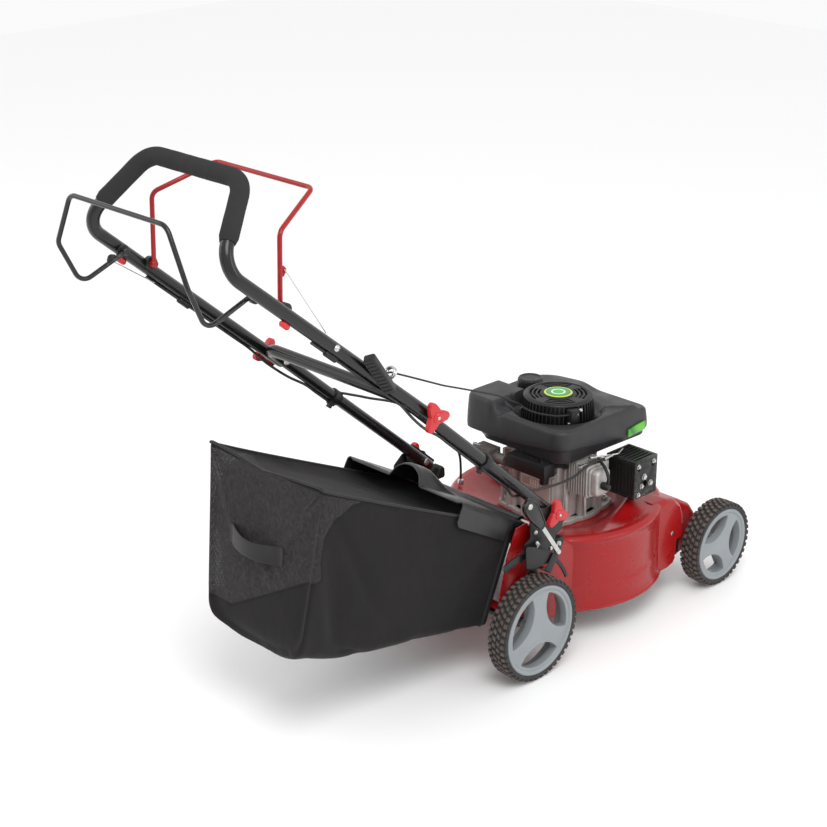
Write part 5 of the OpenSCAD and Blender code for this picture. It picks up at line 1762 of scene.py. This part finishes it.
def tube_fittings():
    """Small pieces on the upper tubes: bolt heads, and the sleeves round the cables near the bails."""
    bm = bmesh.new()
    for s in (1, -1):
        bolt = [(0, 9.5), (5.6, 10), (5.6, 12.2), (4, 13.6), (0, 14.2)]
        turned(bm, bolt, on_side(s, upper_at(-466)), (s, 0, 0.1), 24)
    add_object("tube_bolts", bm, ZINC, "upper_handle", 50)
    for name, material, slot, hug, places, profile in (
            ("cable_adjusters", PLASTIC, "black_plastic", 1.02, ((1, -462), (-1, -462)),
             [(0, -15), (3.6, -15), (5.4, -13), (5.4, 13), (3.6, 15), (0, 15)]),
            ("cable_sleeves", RED_PLASTIC, "red_plastic", 1.1, ((1, -550), (-1, -590)),
             [(0, -9), (4.4, -9), (5.4, -7), (5.4, 6), (3, 9), (0, 9)])):
        bm = bmesh.new()
        for s, y in places:
            turned(bm, profile, on_side(s, upper_at(y) + HUG * hug),
                   on_side(s, (UPPER_BACK - FOLD_HI).normalized()), 20)
        add_object(name, bm, material, "upper_handle", 40)


control_cables()
tube_clips()
starter()
tube_fittings()


# ------------------------------------------------------------------ plain mechanical pieces, edges rounded
for node, material, width, slot in (
        ("axle_bearings", PLASTIC, 0.8, "black_plastic"), ("crankcase", CAST, 1.2, "cast_alloy"),
        ("carburettor", DARK_CAST, 1.5, "dark_alloy"),
        ("air_filter_box", PLASTIC, 2.0, "black_plastic"), ("fuel_tank", TANK, 2.0, "tank_plastic"),
        ("muffler", HOT_STEEL, 4.0, "dark_steel"), ("fasteners", ZINC, 0.5, "bare_steel"),
        ("fold_bolts", ZINC, 0.5, "bare_steel"), ("flap_rod", ZINC, 0.5, "bare_steel"),
        ("control_bracket", ZINC, 0.4, "bare_steel"), ("rear_axle", DULL_STEEL, 0.6, "dark_steel"),
        ("front_axle", DULL_STEEL, 0.6, "dark_steel"), ("link_rod", ZINC, 0.4, "bare_steel"),
        ("crankshaft", ZINC, 0.6, "bare_steel"),
        ("flywheel", DARK_CAST, 0.8, "dark_alloy"), ("blade_adapter", DULL_STEEL, 0.6, "dark_steel"),
        ("blade", DULL_STEEL, 0.5, "dark_steel"), ("blade_bolt", ZINC, 0.6, "bare_steel"),
        ("starter_pulley", PLASTIC, 0.5, "black_plastic"),
        ("bag_frame", SATIN_BLACK, 0.1, "black_paint"),
        ("muffler_guard", SATIN_BLACK, 1.6, "black_paint")):
    piece = refined(node, material, width)
    if node in ("crankcase", "fasteners"):
        for v in piece.data.vertices:
            p = at_back(v.co)
            if node == "crankcase" and p.z < FLANGE_Z or node == "fasteners" and p.z > 208 and 80 < math.hypot(p.x, p.y - DECK_Y) < 112:
                v.co.z -= SINK / 1000


# ------------------------------------------------------------------ floor, light and camera
def stage_and_camera():
    """A pale floor, a white world with three soft lamps, and the photograph's camera."""
    me = bpy.data.meshes.new("floor")
    me.from_pydata([(-6, -6, 0), (6, -6, 0), (6, 6, 0), (-6, 6, 0)], [], [(0, 1, 2, 3)])
    floor = bpy.data.objects.new("floor", me)
    k = Nodes("floor_paper")
    me.materials.append(k.finish(lin(250, 250, 250), 0.9, k.bump(k.noise(300, 2), 0.02, 0.0002)))
    scene = bpy.context.scene
    scene.collection.objects.link(floor)
    world = bpy.data.worlds.new("studio")
    world.use_nodes = True
    world.node_tree.nodes["Background"].inputs["Color"].default_value = (1, 1, 1, 1)
    world.node_tree.nodes["Background"].inputs["Strength"].default_value = 0.96
    scene.world = world
    for name, place, aim, size, power in (
            ("key", (1.6, -1.2, 3.0), (0, 0, 0.4), 1.8, 46),
            ("fill", (-2.6, -2.0, 2.0), (0, 0, 0.4), 2.2, 16),
            ("side", (3.2, 1.4, 1.6), (0, 0.2, 0.3), 1.6, 18)):
        lamp = bpy.data.lights.new(name, "AREA")
        lamp.shape = "DISK"
        lamp.size = size
        lamp.energy = power
        look_from(bpy.data.objects.new(name, lamp), place, Vector(aim) - Vector(place))
    lens_and_film = bpy.data.cameras.new("camera")
    lens_and_film.lens = 81.53
    lens_and_film.sensor_width = 36
    scene.camera = look_from(bpy.data.objects.new("camera", lens_and_film), (2.235, -2.2665, 1.760),
                             Vector((-0.6607, 0.6515, -0.373)))
    scene.view_settings.view_transform = "Standard"


def look_from(o, place, forward):
    """Puts a lamp or camera in the scene at a place, facing forward."""
    o.location = place
    o.rotation_euler = forward.to_track_quat("-Z", "Y").to_euler()
    bpy.context.scene.collection.objects.link(o)
    return o


stage_and_camera()
